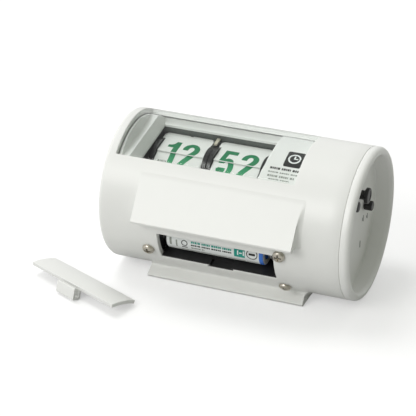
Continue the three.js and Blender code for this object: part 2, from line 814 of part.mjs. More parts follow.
function placeAlarm() {
  const face = END.plateFace;
  const knob = [ALARM.y, ALARM.z];
  const body = [
    [0, 42.4],
    [1.2, 42.4],
    [1.2, face + GAP],
    [ALARM.knob, face + GAP],
    [ALARM.knob, face + 3.8],
    [ALARM.knob - 0.4, face + 4.2],
    [0, face + 4.2],
  ];
  place('alarm_knob', turning(body, knob, 32), black);
  const cam = [...arc(5, 30, 330, 24, knob), polar(3.6, 345, knob), polar(3.4, 375, knob)];
  place('alarm_cam', prism(cam, 42.8, 44.2, [arc(1.5, 0, -340, 17, knob)]), acetal);
  const button = [
    [0, 45.4],
    [1.4, 45.4],
    [1.4, face + 1.8],
    [BUTTON.cap, face + 1.8],
    [BUTTON.cap, face + 2.8],
    [BUTTON.cap - 0.7, face + 3.4],
    [0, face + 3.6],
  ];
  place('alarm_button', turning(button, [BUTTON.y, BUTTON.z], 28), black);
  const { y, z } = BUTTON;
  place('alarm_switch', box(40.2, 43.5, y - 3, y + 3, z - 3, z + 3), black);
}

// ---- motor and electronics ----

function placeElectronics() {
  const from = LAYER.can;
  const can = [[0, from], [9, from], [9, from + 0.7], [11.4, from + 0.7], [11.4, from + 13], [0, from + 13]];
  place('motor_case', turning(can, MOTOR_AXIS, 28), steel);
  const disc = rod(30, 38, 39.6, [0, 0], 40);
  const bay = turnedBox(BATTERY.angle, 37, 41, -12, 12, 10, 45);
  const hole = rod(1.8, 37, 41, DRUM_AXIS, 20);
  place('circuit_board', without(disc, bay, hole), boardGreen);
  place('clock_chip', box(36.2, 37.7, 12, 20, 12, 18), black);
  place('crystal_can', box(35.4, 37.7, -2, 4.6, -22, -19.6), steel);
  const sound = [[0, 40], [SOUND.radius, 40], [SOUND.radius, 45], [2, 45.6], [0, 45.6]];
  place('sounder', turning(sound, [SOUND.y, SOUND.z], 28), black);
}

place('main_shell', mainShell(), white);
place('right_end_cap', endCap(), white);
place('lens_window', lensWindow(), acrylic);
place('display_mask', displayMask(), white);
placeDoor();
placeScrews();
place('battery_tray', batteryTray(), black);
place('battery_cell', batteryCell(), cellSleeve);
place('battery_spring', batterySpring(), steel);
place('positive_contact', positiveContact(), steel);
placeFrame();
placeShaft();
placeDrums();
placeFingers();
placeGears();
placeKnob();
placeAlarm();
placeElectronics();

standAtOrigin();

export default clock;
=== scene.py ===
import json
import math

import bmesh
import bpy
from mathutils import Matrix, Vector


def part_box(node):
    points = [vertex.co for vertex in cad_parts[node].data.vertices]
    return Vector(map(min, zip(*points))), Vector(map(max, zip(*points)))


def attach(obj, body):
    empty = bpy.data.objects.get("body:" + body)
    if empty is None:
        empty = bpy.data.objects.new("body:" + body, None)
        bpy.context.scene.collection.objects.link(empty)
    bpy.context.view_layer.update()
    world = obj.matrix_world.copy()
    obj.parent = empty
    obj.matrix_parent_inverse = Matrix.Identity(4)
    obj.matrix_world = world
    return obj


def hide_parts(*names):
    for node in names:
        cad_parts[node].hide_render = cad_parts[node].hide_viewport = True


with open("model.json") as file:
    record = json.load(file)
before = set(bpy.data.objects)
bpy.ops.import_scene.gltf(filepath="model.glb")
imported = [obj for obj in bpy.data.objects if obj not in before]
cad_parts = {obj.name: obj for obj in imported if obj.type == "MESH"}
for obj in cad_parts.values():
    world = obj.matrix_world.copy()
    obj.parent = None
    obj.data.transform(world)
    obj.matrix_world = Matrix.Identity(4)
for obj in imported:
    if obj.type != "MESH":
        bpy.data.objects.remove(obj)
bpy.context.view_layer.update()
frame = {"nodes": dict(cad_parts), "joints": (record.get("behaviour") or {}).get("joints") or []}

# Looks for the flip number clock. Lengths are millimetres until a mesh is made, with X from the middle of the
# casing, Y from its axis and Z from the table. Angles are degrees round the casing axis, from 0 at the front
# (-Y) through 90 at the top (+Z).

MM = 0.001

# ---- places taken from the frame


def casing_middle():
    """Where the middle of the casing's axis is in the row frame, over the table, in metres."""
    shell_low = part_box("main_shell")[0]
    cap_low, cap_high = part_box("right_end_cap")
    return Vector(((shell_low.x + cap_high.x) / 2, (cap_low.y + cap_high.y) / 2, 0))


MIDDLE = casing_middle()


def box_mm(node):
    low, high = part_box(node)
    return (low - MIDDLE) / MM, (high - MIDDLE) / MM


def centre_of(node):
    """The middle of a node's box as (y, z)."""
    low, high = box_mm(node)
    return (low.y + high.y) / 2, (low.z + high.z) / 2


def joint_point(name):
    joint = next(j for j in frame["joints"] if j["name"] == name)
    return joint["pos_m"][1] / MM - MIDDLE.y / MM, joint["pos_m"][2] / MM


CAP_LOW, CAP_HIGH = box_mm("right_end_cap")
RADIUS = (CAP_HIGH.y - CAP_LOW.y) / 2
AXIS_Z = CAP_HIGH.z - RADIUS
SHELL_LEFT = box_mm("main_shell")[0].x
SEAM = box_mm("main_shell")[1].x
END_RIGHT = CAP_HIGH.x
WALL = 2.5
INNER = RADIUS - WALL
FILLET = 2.5
SPLIT_Y, SPLIT_Z = joint_point("hour_leaf_fall")
DRUM_CENTRE = joint_point("minute_drum_turn")
GAP = 0.25

LENS_LOW, LENS_HIGH = 47, 120
LENS_LEFT = box_mm("lens_window")[0].x - GAP
LENS_RIGHT = box_mm("lens_window")[1].x + GAP
LENS_WALL = 1.7

CELL_LOW, CELL_HIGH = box_mm("battery_cell")
CELL_ANGLE = -20.9
CELL_CENTRE = centre_of("battery_cell")
CELL_RADIUS = (CELL_HIGH.z - CELL_LOW.z) / 2

DISPLAY_ANGLE = 80


def at(radius, angle, x):
    """The point at a radius and angle about the casing axis."""
    turn = math.radians(angle)
    return Vector((x, -radius * math.cos(turn), AXIS_Z + radius * math.sin(turn)))


def in_display(x, u, a):
    """The point u up the display and a out from the casing axis, square to the display."""
    return at(a, DISPLAY_ANGLE, x) + at(u, DISPLAY_ANGLE + 90, 0) - Vector((0, 0, AXIS_Z))


# ---- materials


class Tree:
    """A short way to build a shader node tree."""

    def __init__(self, tree):
        self.tree = tree

    def add(self, kind, **settings):
        """A node, with each setting a value or a source for an input, or an attribute."""
        node = self.tree.nodes.new("ShaderNode" + kind)
        for key, value in settings.items():
            name = key.replace("_", " ")
            if name in node.inputs:
                self.feed(node.inputs[name], value)
            else:
                setattr(node, key, value)
        return node

    def link(self, source, target):
        self.tree.links.new(source, target)

    def feed(self, target, value):
        if isinstance(value, bpy.types.NodeSocket):
            self.link(value, target)
        else:
            target.default_value = value

    def noise(self, scale, detail=3.0, stretch=None):
        source = self.add("TexCoord").outputs["Object"]
        if stretch:
            source = self.add("Mapping", Scale=stretch, Vector=source).outputs["Vector"]
        return self.add("TexNoise", Scale=scale, Detail=detail, Vector=source).outputs["Fac"]

    def spread(self, factor, low, high):
        """Maps a 0 to 1 factor to a range."""
        return self.add("MapRange", Value=factor, To_Min=low, To_Max=high).outputs["Result"]

    def ramp(self, source, start, stop):
        """A 0 to 1 factor as a value goes from start to stop."""
        return self.add("MapRange", Value=source, From_Min=start, From_Max=stop).outputs["Result"]

    def split(self, kind):
        """The X, Y and Z outputs of a texture coordinate."""
        return self.add("SeparateXYZ", Vector=self.add("TexCoord").outputs[kind]).outputs

    def mix(self, factor, first, second):
        """A colour between two colours or sockets."""
        mix = self.add("Mix", data_type="RGBA")
        self.link(factor, mix.inputs[0])
        for slot, value in ((6, first), (7, second)):
            self.feed(mix.inputs[slot], (*value, 1) if isinstance(value, tuple) else value)
        return mix.outputs[2]

    def maths(self, operation, first, second):
        node = self.add("Math", operation=operation)
        self.feed(node.inputs[0], first)
        self.feed(node.inputs[1], second)
        return node.outputs[0]


class Nodes(Tree):
    """A material's node tree."""

    def __init__(self, name):
        self.material = bpy.data.materials.new(name)
        self.material.use_nodes = True
        super().__init__(self.material.node_tree)
        self.surface = self.tree.nodes["Principled BSDF"]

    def along(self, axis, start, stop):
        """A 0 to 1 factor between two places on an axis, in millimetres from the casing's middle."""
        offset = MIDDLE["XYZ".index(axis)]
        return self.ramp(self.split("Object")[axis], start * MM + offset, stop * MM + offset)

    def bump(self, height):
        """The fine relief of a moulded or drawn skin."""
        bump = self.add("Bump", Distance=SKIN_DEPTH, Strength=1.0, Height=height)
        self.link(bump.outputs["Normal"], self.surface.inputs["Normal"])

    def set(self, **values):
        for key, value in values.items():
            self.feed(self.surface.inputs[key.replace("_", " ")], value)


def shade(colour, factor):
    return tuple(channel * factor for channel in colour)


BLOTCH_SCALE = 45
SKIN_SCALE = 2600
SKIN_DEPTH = 0.00002
PAINTED_LIGHT_LENGTH = 8
STEEL_GREY = (0.5, 0.5, 0.49)
LABEL_PALE = (0.76, 0.79, 0.78)
LABEL_BLUE = (0.02, 0.16, 0.62)


def moulded(name, colour, roughness, mottle=0.03, coat=0.0):
    """Moulded plastic: faint mottling, uneven gloss and a fine skin."""
    nodes = Nodes(name)
    blotch = nodes.noise(BLOTCH_SCALE, 2.0)
    fine = nodes.noise(SKIN_SCALE, 2.0)
    nodes.set(
        Base_Color=nodes.mix(blotch, shade(colour, 1 - mottle), shade(colour, 1 + mottle)),
        Roughness=nodes.spread(blotch, roughness - 0.05, roughness + 0.05),
        Coat_Weight=coat,
        Coat_Roughness=0.12,
    )
    nodes.bump(fine)
    return nodes.material


def metal(name, colour, roughness):
    """Drawn or turned metal with fine tool marks."""
    nodes = Nodes(name)
    marks = nodes.noise(180, 4.0, (1, 40, 40))
    tarnish = nodes.noise(220, 2.0)
    nodes.set(
        Base_Color=nodes.mix(tarnish, shade(colour, 0.82), shade(colour, 1.08)),
        Metallic=1.0,
        Roughness=nodes.spread(marks, roughness - 0.08, roughness + 0.12),
    )
    nodes.bump(marks)
    return nodes.material


def clear_plastic():
    """Thin clear acrylic: light passes straight through, and the surface mirrors at a glancing angle."""
    nodes = Nodes("clear_acrylic")
    haze = nodes.noise(60, 2.0)
    fresnel = nodes.add("Fresnel", IOR=1.46)
    front = nodes.maths("SUBTRACT", 1.0, nodes.add("NewGeometry").outputs["Backfacing"])
    outer = nodes.maths("MULTIPLY", fresnel.outputs["Fac"], front)
    strength = nodes.maths("MULTIPLY", outer, nodes.add("LightPath").outputs["Is Camera Ray"])
    clear = nodes.add("BsdfTransparent", Color=(0.975, 0.985, 0.98, 1))
    gloss = nodes.add("BsdfGlossy", Roughness=nodes.spread(haze, 0.03, 0.09))
    blend = nodes.add("MixShader", Fac=strength)
    nodes.link(clear.outputs[0], blend.inputs[1])
    nodes.link(gloss.outputs[0], blend.inputs[2])
    nodes.link(blend.outputs[0], nodes.tree.nodes["Material Output"].inputs["Surface"])
    return nodes.material


def cell_sleeve():
    """The cell's sleeve: pale along its length, a blue band at the negative end and bare metal ends."""
    nodes = Nodes("cell_sleeve")
    ramp = nodes.add("ValToRGB")
    ramp.color_ramp.interpolation = "CONSTANT"
    bands = [(0.0, STEEL_GREY), (0.024, LABEL_PALE), (0.955, LABEL_BLUE), (0.995, STEEL_GREY)]
    for index, (place, colour) in enumerate(bands):
        stop = ramp.color_ramp.elements[0] if index == 0 else ramp.color_ramp.elements.new(place)
        stop.position = place
        stop.color = (*colour, 1)
    ramp.color_ramp.elements.remove(ramp.color_ramp.elements[-1])
    nodes.link(nodes.along("X", CELL_LOW.x, CELL_HIGH.x), ramp.inputs["Fac"])
    grime = nodes.noise(300, 2.0)
    nodes.set(
        Base_Color=nodes.mix(nodes.spread(grime, 0.0, 0.08), ramp.outputs["Color"], (0.4, 0.42, 0.42)),
        Metallic=0.1,
        Roughness=nodes.spread(grime, 0.3, 0.38),
        Coat_Weight=0.3,
    )
    return nodes.material


def green_with_painted_light():
    """The lower numerals' green, painted paler down the card: a painted highlight standing in for the light
    on the card.
    """
    nodes = Nodes("numeral_green_lower_painted_light")
    # Painted highlight: the green is painted paler over this length down the card.
    down = nodes.along("Y", SPLIT_Y, SPLIT_Y - PAINTED_LIGHT_LENGTH)
    blotch = nodes.noise(BLOTCH_SCALE, 2.0)
    nodes.set(
        Base_Color=nodes.mix(down, (0.006, 0.22, 0.085), (0.06, 0.38, 0.17)),
        Roughness=nodes.spread(blotch, 0.35, 0.45),
    )
    nodes.bump(nodes.noise(SKIN_SCALE, 2.0))
    return nodes.material


SHELL = moulded("casing_plastic", (0.79, 0.795, 0.775), 0.36)
INNER_WHITE = moulded("bezel_plastic", (0.8, 0.805, 0.79), 0.5)
CARD = moulded("card_plastic", (0.8, 0.81, 0.79), 0.42, mottle=0.015)
BLACK = moulded("black_plastic", (0.006, 0.006, 0.006), 0.32, mottle=0.2)
BLACK_END = moulded("knob_face", (0.035, 0.036, 0.036), 0.4, mottle=0.15)
# Near-black for the sound slot: painted shade standing in for the slot's hollow.
SLOT_PAINTED_SHADE = moulded("slot_painted_shade", (0.01, 0.011, 0.011), 0.6, mottle=0.2)
WHEEL = moulded("wheel_plastic", (0.02, 0.02, 0.021), 0.26, mottle=0.2, coat=0.3)
BAR = moulded("finger_bar_plastic", (0.075, 0.088, 0.078), 0.55, mottle=0.1)
ACETAL = moulded("acetal", (0.55, 0.52, 0.42), 0.4)
GREEN_DARK = moulded("numeral_green_upper", (0.002, 0.19, 0.07), 0.4, mottle=0.06)
# The lower numerals' green has painted light: it pales down the card in the colour itself.
GREEN_PAINTED_LIT = green_with_painted_light()
PRINT = moulded("printed_black", (0.012, 0.013, 0.012), 0.5, mottle=0.2)
PRINT_GREY = moulded("printed_grey", (0.28, 0.3, 0.27), 0.5, mottle=0.1)
PRINT_TEAL = moulded("printed_teal", (0.0, 0.28, 0.22), 0.4, mottle=0.1)
PRINT_WHITE = moulded("printed_white", (0.8, 0.82, 0.82), 0.4)
# The waiting cards are the leaves' white painted darker: painted shade between the stacked cards.
PACK_CARD_PAINTED_SHADE = moulded("waiting_card_painted_shade", (0.74, 0.75, 0.73), 0.45, mottle=0.03)
FRAME_BLACK = moulded("frame_plastic", (0.011, 0.011, 0.012), 0.42, mottle=0.15)
BOARD = moulded("board_lacquer", (0.01, 0.07, 0.03), 0.3, coat=0.5)
NICKEL = metal("warm_nickel", (0.62, 0.58, 0.5), 0.3)
STEEL = metal("bright_steel", (0.6, 0.6, 0.6), 0.28)
BRASS = metal("brass", (0.76, 0.55, 0.24), 0.3)
CLEAR = clear_plastic()
SLEEVE = cell_sleeve()

# ---- mesh helpers


BEVEL_ANGLE = 40
POLE = 1e-6


def to_scene(name, data):
    piece = bpy.data.objects.new(name, data)
    bpy.context.scene.collection.objects.link(piece)
    return piece


def to_mesh(name, bm):
    mesh = bpy.data.meshes.new(name)
    bm.to_mesh(mesh)
    bm.free()
    return mesh


def finish_mesh(name, bm, material, body, replaced=(), sharp=32):
    """Makes a closed mesh, built from the casing's middle, into a piece that rides on a body."""
    bmesh.ops.recalc_face_normals(bm, faces=bm.faces)
    bmesh.ops.translate(bm, verts=bm.verts, vec=MIDDLE)
    mesh = to_mesh(name, bm)
    mesh.materials.append(material)
    mesh.shade_smooth()
    mesh.set_sharp_from_angle(angle=math.radians(sharp))
    piece = to_scene(name, mesh)
    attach(piece, body)
    if replaced:
        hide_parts(*replaced)
    return piece


def bevelled(piece, width, segments=2, harden=True):
    """Rounds a piece's sharp edges."""
    bevel = piece.modifiers.new("edges", "BEVEL")
    bevel.width = width * MM
    bevel.segments = segments
    bevel.limit_method = "ANGLE"
    bevel.angle_limit = math.radians(BEVEL_ANGLE)
    bevel.harden_normals = harden


def ring_faces(bm, rings, closed=True):
    """Faces between each ring of vertices and the next. A ring of one vertex is a pole."""
    for first, second in zip(rings, rings[1:]):
        count = max(len(first), len(second))
        for i in range(count if closed else count - 1):
            j = (i + 1) % count
            near = [ring[k % len(ring)] for ring, k in ((first, i), (first, j))]
            far = [ring[k % len(ring)] for ring, k in ((second, j), (second, i))]
            bm.faces.new(list(dict.fromkeys(near + far)))


def lathe(bm, profile, place, segments):
    """Rings for a profile of (radius, along) points, put in place by place(along, across, up)."""
    rings = []
    for radius, along in profile:
        ring = []
        for i in range(1 if radius < POLE else segments):
            turn = 2 * math.pi * i / segments
            ring.append(bm.verts.new(place(along, radius * math.cos(turn), radius * math.sin(turn)) * MM))
        rings.append(ring)
    ring_faces(bm, rings)
    return rings


def about_x(centre):
    """A lathe's place for an axis along X through a (y, z) centre."""
    y0, z0 = centre
    return lambda along, across, up: Vector((along, y0 - across, z0 + up))


def turned(name, profile, centre, material, body, replaced=(), segments=72):
    bm = bmesh.new()
    lathe(bm, profile, about_x(centre), segments)
    finish_mesh(name, bm, material, body, replaced)


def drop_loose(bm):
    bmesh.ops.delete(bm, geom=[v for v in bm.verts if not v.link_faces], context="VERTS")


def corner(cx, cy, rx, ry, start, stop, steps=8):
    """Points of an elliptical corner, with angles measured from the first axis towards the second."""
    turns = [math.radians(start + (stop - start) * i / steps) for i in range(steps + 1)]
    return [(cx + rx * math.cos(t), cy + ry * math.sin(t)) for t in turns]


def grid_lines(start, stop, marks, widest):
    """Values from start to stop through every mark, none further apart than widest."""
    stops = sorted({start, stop, *[m for m in marks if start < m < stop]})
    values = []
    for low, high in zip(stops, stops[1:]):
        count = max(1, math.ceil((high - low) / widest - 1e-9))
        values += [low + (high - low) * i / count for i in range(count)]
    return values + [stop]


def cut_across(bm, outline, spacing):
    """Adds cuts square to the up direction, so that the plate can follow a curve."""
    low = min(u for _, u in outline)
    high = max(u for _, u in outline)
    for level in grid_lines(low, high, [], spacing)[1:-1]:
        geometry = list(bm.verts) + list(bm.edges) + list(bm.faces)
        bmesh.ops.bisect_plane(bm, geom=geometry, plane_co=Vector((0, level, 0)) * MM, plane_no=(0, 1, 0))


def trimmed(bm, level, keep_above):
    """Keeps the part of a flat mesh above or below a level."""
    geometry = list(bm.verts) + list(bm.edges) + list(bm.faces)
    options = {"clear_inner": keep_above, "clear_outer": not keep_above}
    plane = {"plane_co": Vector((0, level, 0)) * MM, "plane_no": (0, 1, 0)}
    bmesh.ops.bisect_plane(bm, geom=geometry, **plane, **options)


# ---- casing

EDGE = 0.32
BAY = {"left": -32.3, "right": 26.3, "above": 7.75, "below": 8.6}
NOTCH = {"left": -8.4, "right": 4.3, "below": 10.15}
BAY_REACH = 34
ARC = math.degrees(1 / RADIUS)


def slant(half, radius):
    """The angle at which a line parallel to the bay's centre plane crosses a radius."""
    return math.degrees(math.asin(half / radius))


def shell_openings():
    """Each opening as left, right, low angle, high angle."""
    above = slant(BAY["above"], RADIUS)
    below = slant(BAY["below"], RADIUS)
    deep = slant(NOTCH["below"], RADIUS)
    return [
        (LENS_LEFT, LENS_RIGHT, LENS_LOW, LENS_HIGH),
        (BAY["left"], BAY["right"], CELL_ANGLE - below, CELL_ANGLE + above),
        (NOTCH["left"], NOTCH["right"], CELL_ANGLE - deep, CELL_ANGLE),
    ]


def rounding(distance):
    """How far a surface drops towards the rounded edge of an opening."""
    if distance >= EDGE:
        return 0.0
    return EDGE - math.sqrt(EDGE**2 - (EDGE - distance) ** 2)


def edge_marks(low, high, scale):
    """Grid lines at an opening's two sides and across its rounded edges."""
    steps = [0.0, 0.08, 0.3, 0.6, 1.0, 3.0]
    return [low - EDGE * s * scale for s in steps] + [high + EDGE * s * scale for s in steps]


def parallel_angle(angle):
    """Where a wall from an outer angle meets the inner surface. The bay's walls stay parallel."""
    off = angle - CELL_ANGLE
    size = abs(off)
    if size > BAY_REACH:
        return angle
    fade = min(1.0, (BAY_REACH - size) / (BAY_REACH / 2))
    inner = math.degrees(math.asin(RADIUS * math.sin(math.radians(size)) / INNER))
    return CELL_ANGLE + math.copysign(size + (inner - size) * fade, off)


def build_shell():
    openings = shell_openings()
    x_marks = [m for o in openings for m in edge_marks(o[0], o[1], 1.0)]
    angle_marks = [m for o in openings for m in edge_marks(o[2], o[3], ARC)]
    tube_start = SHELL_LEFT + FILLET
    tube = grid_lines(tube_start, SEAM - 0.3, x_marks, 7.0)
    angles = grid_lines(-150, 210, angle_marks, 1.6)[:-1]
    bm = bmesh.new()

    def circle(x, radius, drop=False, inner=False):
        row = []
        for angle in angles:
            depth = rounding(min(opening_distance(o, x, angle) for o in openings)) if drop else 0.0
            turn = parallel_angle(angle) if inner else angle
            row.append(bm.verts.new(at(radius - depth, turn, x) * MM))
        return row

    def opening_distance(opening, x, angle):
        left, right, low, high = opening
        across = max(left - x, 0, x - right)
        around = max(low - angle, 0, angle - high) / ARC
        return math.hypot(across, around)

    def is_open(i, j):
        x = (tube[i] + tube[i + 1]) / 2
        step = (angles[(j + 1) % len(angles)] - angles[j]) % 360
        angle = angles[j] + step / 2
        return any(opening_distance(o, x, angle) == 0 for o in openings)

    def quad(a, b, c, d):
        bm.faces.new((a, b, c, d))

    count = len(angles)
    outer = [circle(x, RADIUS, drop=True) for x in tube]
    inner = [circle(x, INNER, inner=True) for x in tube]
    opened = [[is_open(i, j) for j in range(count)] for i in range(len(tube) - 1)]
    for i in range(len(tube) - 1):
        for j in range(count):
            k = (j + 1) % count
            if opened[i][j]:
                continue
            quad(outer[i][j], outer[i + 1][j], outer[i + 1][k], outer[i][k])
            quad(inner[i][j], inner[i][k], inner[i + 1][k], inner[i + 1][j])
            if opened[i][j - 1]:
                quad(outer[i][j], inner[i][j], inner[i + 1][j], outer[i + 1][j])
            if opened[i][k]:
                quad(outer[i][k], outer[i + 1][k], inner[i + 1][k], inner[i][k])
            if i > 0 and opened[i - 1][j]:
                quad(outer[i][j], outer[i][k], inner[i][k], inner[i][j])
            if i + 1 < len(opened) and opened[i + 1][j]:
                quad(outer[i + 1][j], inner[i + 1][j], inner[i + 1][k], outer[i + 1][k])

    def end_rings(profile, inner_side=False):
        made = []
        for radius, x in profile:
            if radius < POLE:
                made.append([bm.verts.new(at(0, 0, x) * MM)])
            else:
                made.append(circle(x, radius, inner=inner_side))
        return made

    rounded = corner(RADIUS - FILLET, SHELL_LEFT + FILLET, FILLET, FILLET, -90, 0, 10)[:-1]
    flat = [(0, SHELL_LEFT), (12, SHELL_LEFT), (24, SHELL_LEFT)]
    ring_faces(bm, end_rings(flat + rounded) + [outer[0]])
    lip = [(RADIUS - 0.08, SEAM - 0.1), (RADIUS - 0.25, SEAM), (INNER, SEAM)]
    ring_faces(bm, [outer[-1]] + end_rings(lip[:2]) + end_rings(lip[2:], True) + [inner[-1]])
    floor = [(24, tube_start), (12, tube_start), (0, tube_start)]
    ring_faces(bm, [inner[0]] + end_rings(floor, True))
    drop_loose(bm)
    finish_mesh("casing_shell", bm, SHELL, "casing", ["main_shell"], sharp=40)


FOOT_ANGLE = -26.5
FOOT_REACH, FOOT_SPAN, FOOT_EDGE = 38.45, 22.17, 1.6
FOOT_LEAVE = 63.6
FOOT_LEFT, FOOT_RIGHT = -42.5, 37.5
FOOT_FLARE = 2.8
ROOT_RADIUS = 1.1
FOOT_NOSE = 0.4


def foot_outline():
    """The foot's section as (reach, across): out to the tip, round it, back and into the casing."""
    leave = math.radians(FOOT_LEAVE)
    start = Vector((RADIUS * math.cos(leave), RADIUS * math.sin(leave)))
    tip = Vector((FOOT_REACH, FOOT_SPAN))
    along = (tip - start).normalized()
    inner = FOOT_SPAN - FOOT_EDGE
    nose = FOOT_NOSE
    points = [start * 0.985 - along * 1.2, start]
    points += [start.lerp(tip, t / 10) for t in range(1, 10)]
    points += [tip - along * nose * t for t in (1.6, 0.9, 0.4)]
    points += [Vector((FOOT_REACH, FOOT_SPAN - nose * 0.5))]
    points += [Vector(p) for p in corner(FOOT_REACH - nose, inner + nose, nose, nose, 0, -90, 4)]
    centre_across = inner - ROOT_RADIUS
    centre_reach = math.sqrt((RADIUS + ROOT_RADIUS) ** 2 - centre_across**2)
    sweep = math.degrees(math.atan2(centre_across, centre_reach))
    back = [FOOT_REACH - nose - step for step in (2.0, 4.0)]
    points += [Vector((reach, inner)) for reach in back if reach > centre_reach + 0.3]
    root = corner(centre_reach, centre_across, ROOT_RADIUS, ROOT_RADIUS, 90, 180 + sweep, 6)
    points += [Vector(p) for p in root]
    last = points[-1]
    points.append(last * (1 - 0.6 / last.length))
    points.append(points[0] * (1 - 0.02))
    return points


def build_foot(name, side):
    """A foot along the casing, full height up to its right end, where it curves down."""
    outline = foot_outline()
    bm = bmesh.new()
    straight = [FOOT_LEFT, FOOT_LEFT + 0.3, *grid_lines(FOOT_LEFT + 10, FOOT_RIGHT - 0.3, [], 14), FOOT_RIGHT]
    steps = [(x, math.inf) for x in straight]
    for i in range(1, 9):
        turn = math.radians(90 * i / 9)
        steps.append((FOOT_RIGHT + FOOT_FLARE * (1 - math.cos(turn)), FOOT_FLARE * (1 - math.sin(turn))))
    rings = []
    for x, height in steps:
        row = []
        for point in outline:
            high = point.length - RADIUS
            radius = RADIUS + min(high, height) if high > 0 else point.length
            spot = point.normalized() * radius
            turn = math.degrees(math.atan2(side * spot.y, spot.x))
            row.append(bm.verts.new(at(spot.length, FOOT_ANGLE + turn, x) * MM))
        rings.append(row)
    ring_faces(bm, rings)
    bm.faces.new(rings[0])
    bm.faces.new(rings[-1])
    finish_mesh(name, bm, SHELL, "casing", sharp=28)


END_PLATE = 54.0
END_WALL_RADIUS = 33.0


def build_end_cap():
    lip_outer = corner(RADIUS - FILLET, END_RIGHT - FILLET, FILLET, FILLET, 0, 90, 12)
    lip_inner = corner(RADIUS - FILLET, END_RIGHT - 2.6, -1.5, 2.6, 90, 0, 10)
    root = corner(END_WALL_RADIUS - 0.9, END_PLATE + 0.9, 0.9, 0.9, 0, -90, 5)
    sleeve = INNER - 0.3
    back = END_PLATE - 1.8
    step = RADIUS - 0.32
    profile = [(0, back), (18, back), (sleeve, back), (sleeve, SEAM + 0.04), (step, SEAM + 0.04)]
    profile += [(step, SEAM + 0.2), (RADIUS - 0.1, SEAM + 0.24), (RADIUS, SEAM + 0.5)]
    profile += [*lip_outer, *lip_inner[1:], *root]
    profile += [(22, END_PLATE), (11, END_PLATE), (0, END_PLATE)]
    turned("end_cap", profile, (0.0, AXIS_Z), SHELL, "casing", ["right_end_cap"], 256)


def build_lens():
    """The curved window with softly rounded edges."""
    bm = bmesh.new()
    left, right = LENS_LEFT + GAP, LENS_RIGHT - GAP
    turn = GAP * ARC
    low, high = LENS_LOW + turn, LENS_HIGH - turn
    soft = 0.3

    def edged(start, stop, scale, widest):
        """Grid lines with extra ones across the two softened edges."""
        steps = [soft * scale * s for s in (0.1, 0.4, 1)]
        return grid_lines(start, stop, [start + s for s in steps] + [stop - s for s in steps], widest)

    xs = edged(left, right, 1, 9)
    angles = edged(low, high, ARC, 1.6)

    def drop(x, angle):
        inside = min(x - left, right - x, (angle - low) / ARC, (high - angle) / ARC)
        if inside >= soft:
            return 0.0
        return soft - math.sqrt(max(0.0, soft**2 - (soft - inside) ** 2))

    top = [[bm.verts.new(at(RADIUS - drop(x, a), a, x) * MM) for a in angles] for x in xs]
    under = [[bm.verts.new(at(RADIUS - LENS_WALL, a, x) * MM) for a in angles] for x in xs]
    for sheet in (top, under):
        ring_faces(bm, sheet, closed=False)
    for a, b in ((top[0], under[0]), (top[-1], under[-1])):
        ring_faces(bm, [a, b], closed=False)
    for column in (0, -1):
        ring_faces(bm, [[row[column] for row in top], [row[column] for row in under]], closed=False)
    finish_mesh("window_lens", bm, CLEAR, "casing", ["lens_window"], sharp=50)


# ---- display bezel

WINDOW = {"left": -49.9, "right": 10.8, "bottom": -12.4, "top": 20.1}
LIP_DEPTH = 22.8
SHELF_DEPTH = 28.0
SHELF_EDGE = -52.6
PANEL_EDGE = 14.4
PANEL_DEPTH = 33.4
TOP_SLOPE, BOTTOM_SLOPE = 0.4, 0.75
BEZEL_WALL = 1.2
BEZEL_RADIUS = INNER - 0.3
END_FOOT = box_mm("display_mask")[0].x + 1.6
END_SLOPE = 0.16
END_HOLLOW = 1.2


def bezel_height(x, u):
    """How far out the bezel's face is: ramps from the window's lip to the shelf, the panel and the casing."""
    left_slope = (SHELF_DEPTH - LIP_DEPTH) / (WINDOW["left"] - SHELF_EDGE)
    right_slope = (PANEL_DEPTH - LIP_DEPTH) / (PANEL_EDGE - WINDOW["right"])
    rise = max(
        0.0,
        (WINDOW["left"] - x) * left_slope,
        (x - WINDOW["right"]) * right_slope,
        (u - WINDOW["top"]) * TOP_SLOPE,
        (WINDOW["bottom"] - u) * BOTTOM_SLOPE,
    )
    limit = math.sqrt(BEZEL_RADIUS**2 - u**2)
    if x < PANEL_EDGE:
        end_wall = max(0.0, END_FOOT - x) / END_SLOPE + 0.4 * max(0.0, END_FOOT + END_HOLLOW - x) ** 2
        panel_ramp = LIP_DEPTH + (x - WINDOW["right"]) * right_slope
        limit = min(limit, max(SHELF_DEPTH + end_wall, panel_ramp))
        rise += end_wall
    return min(limit, LIP_DEPTH + rise)


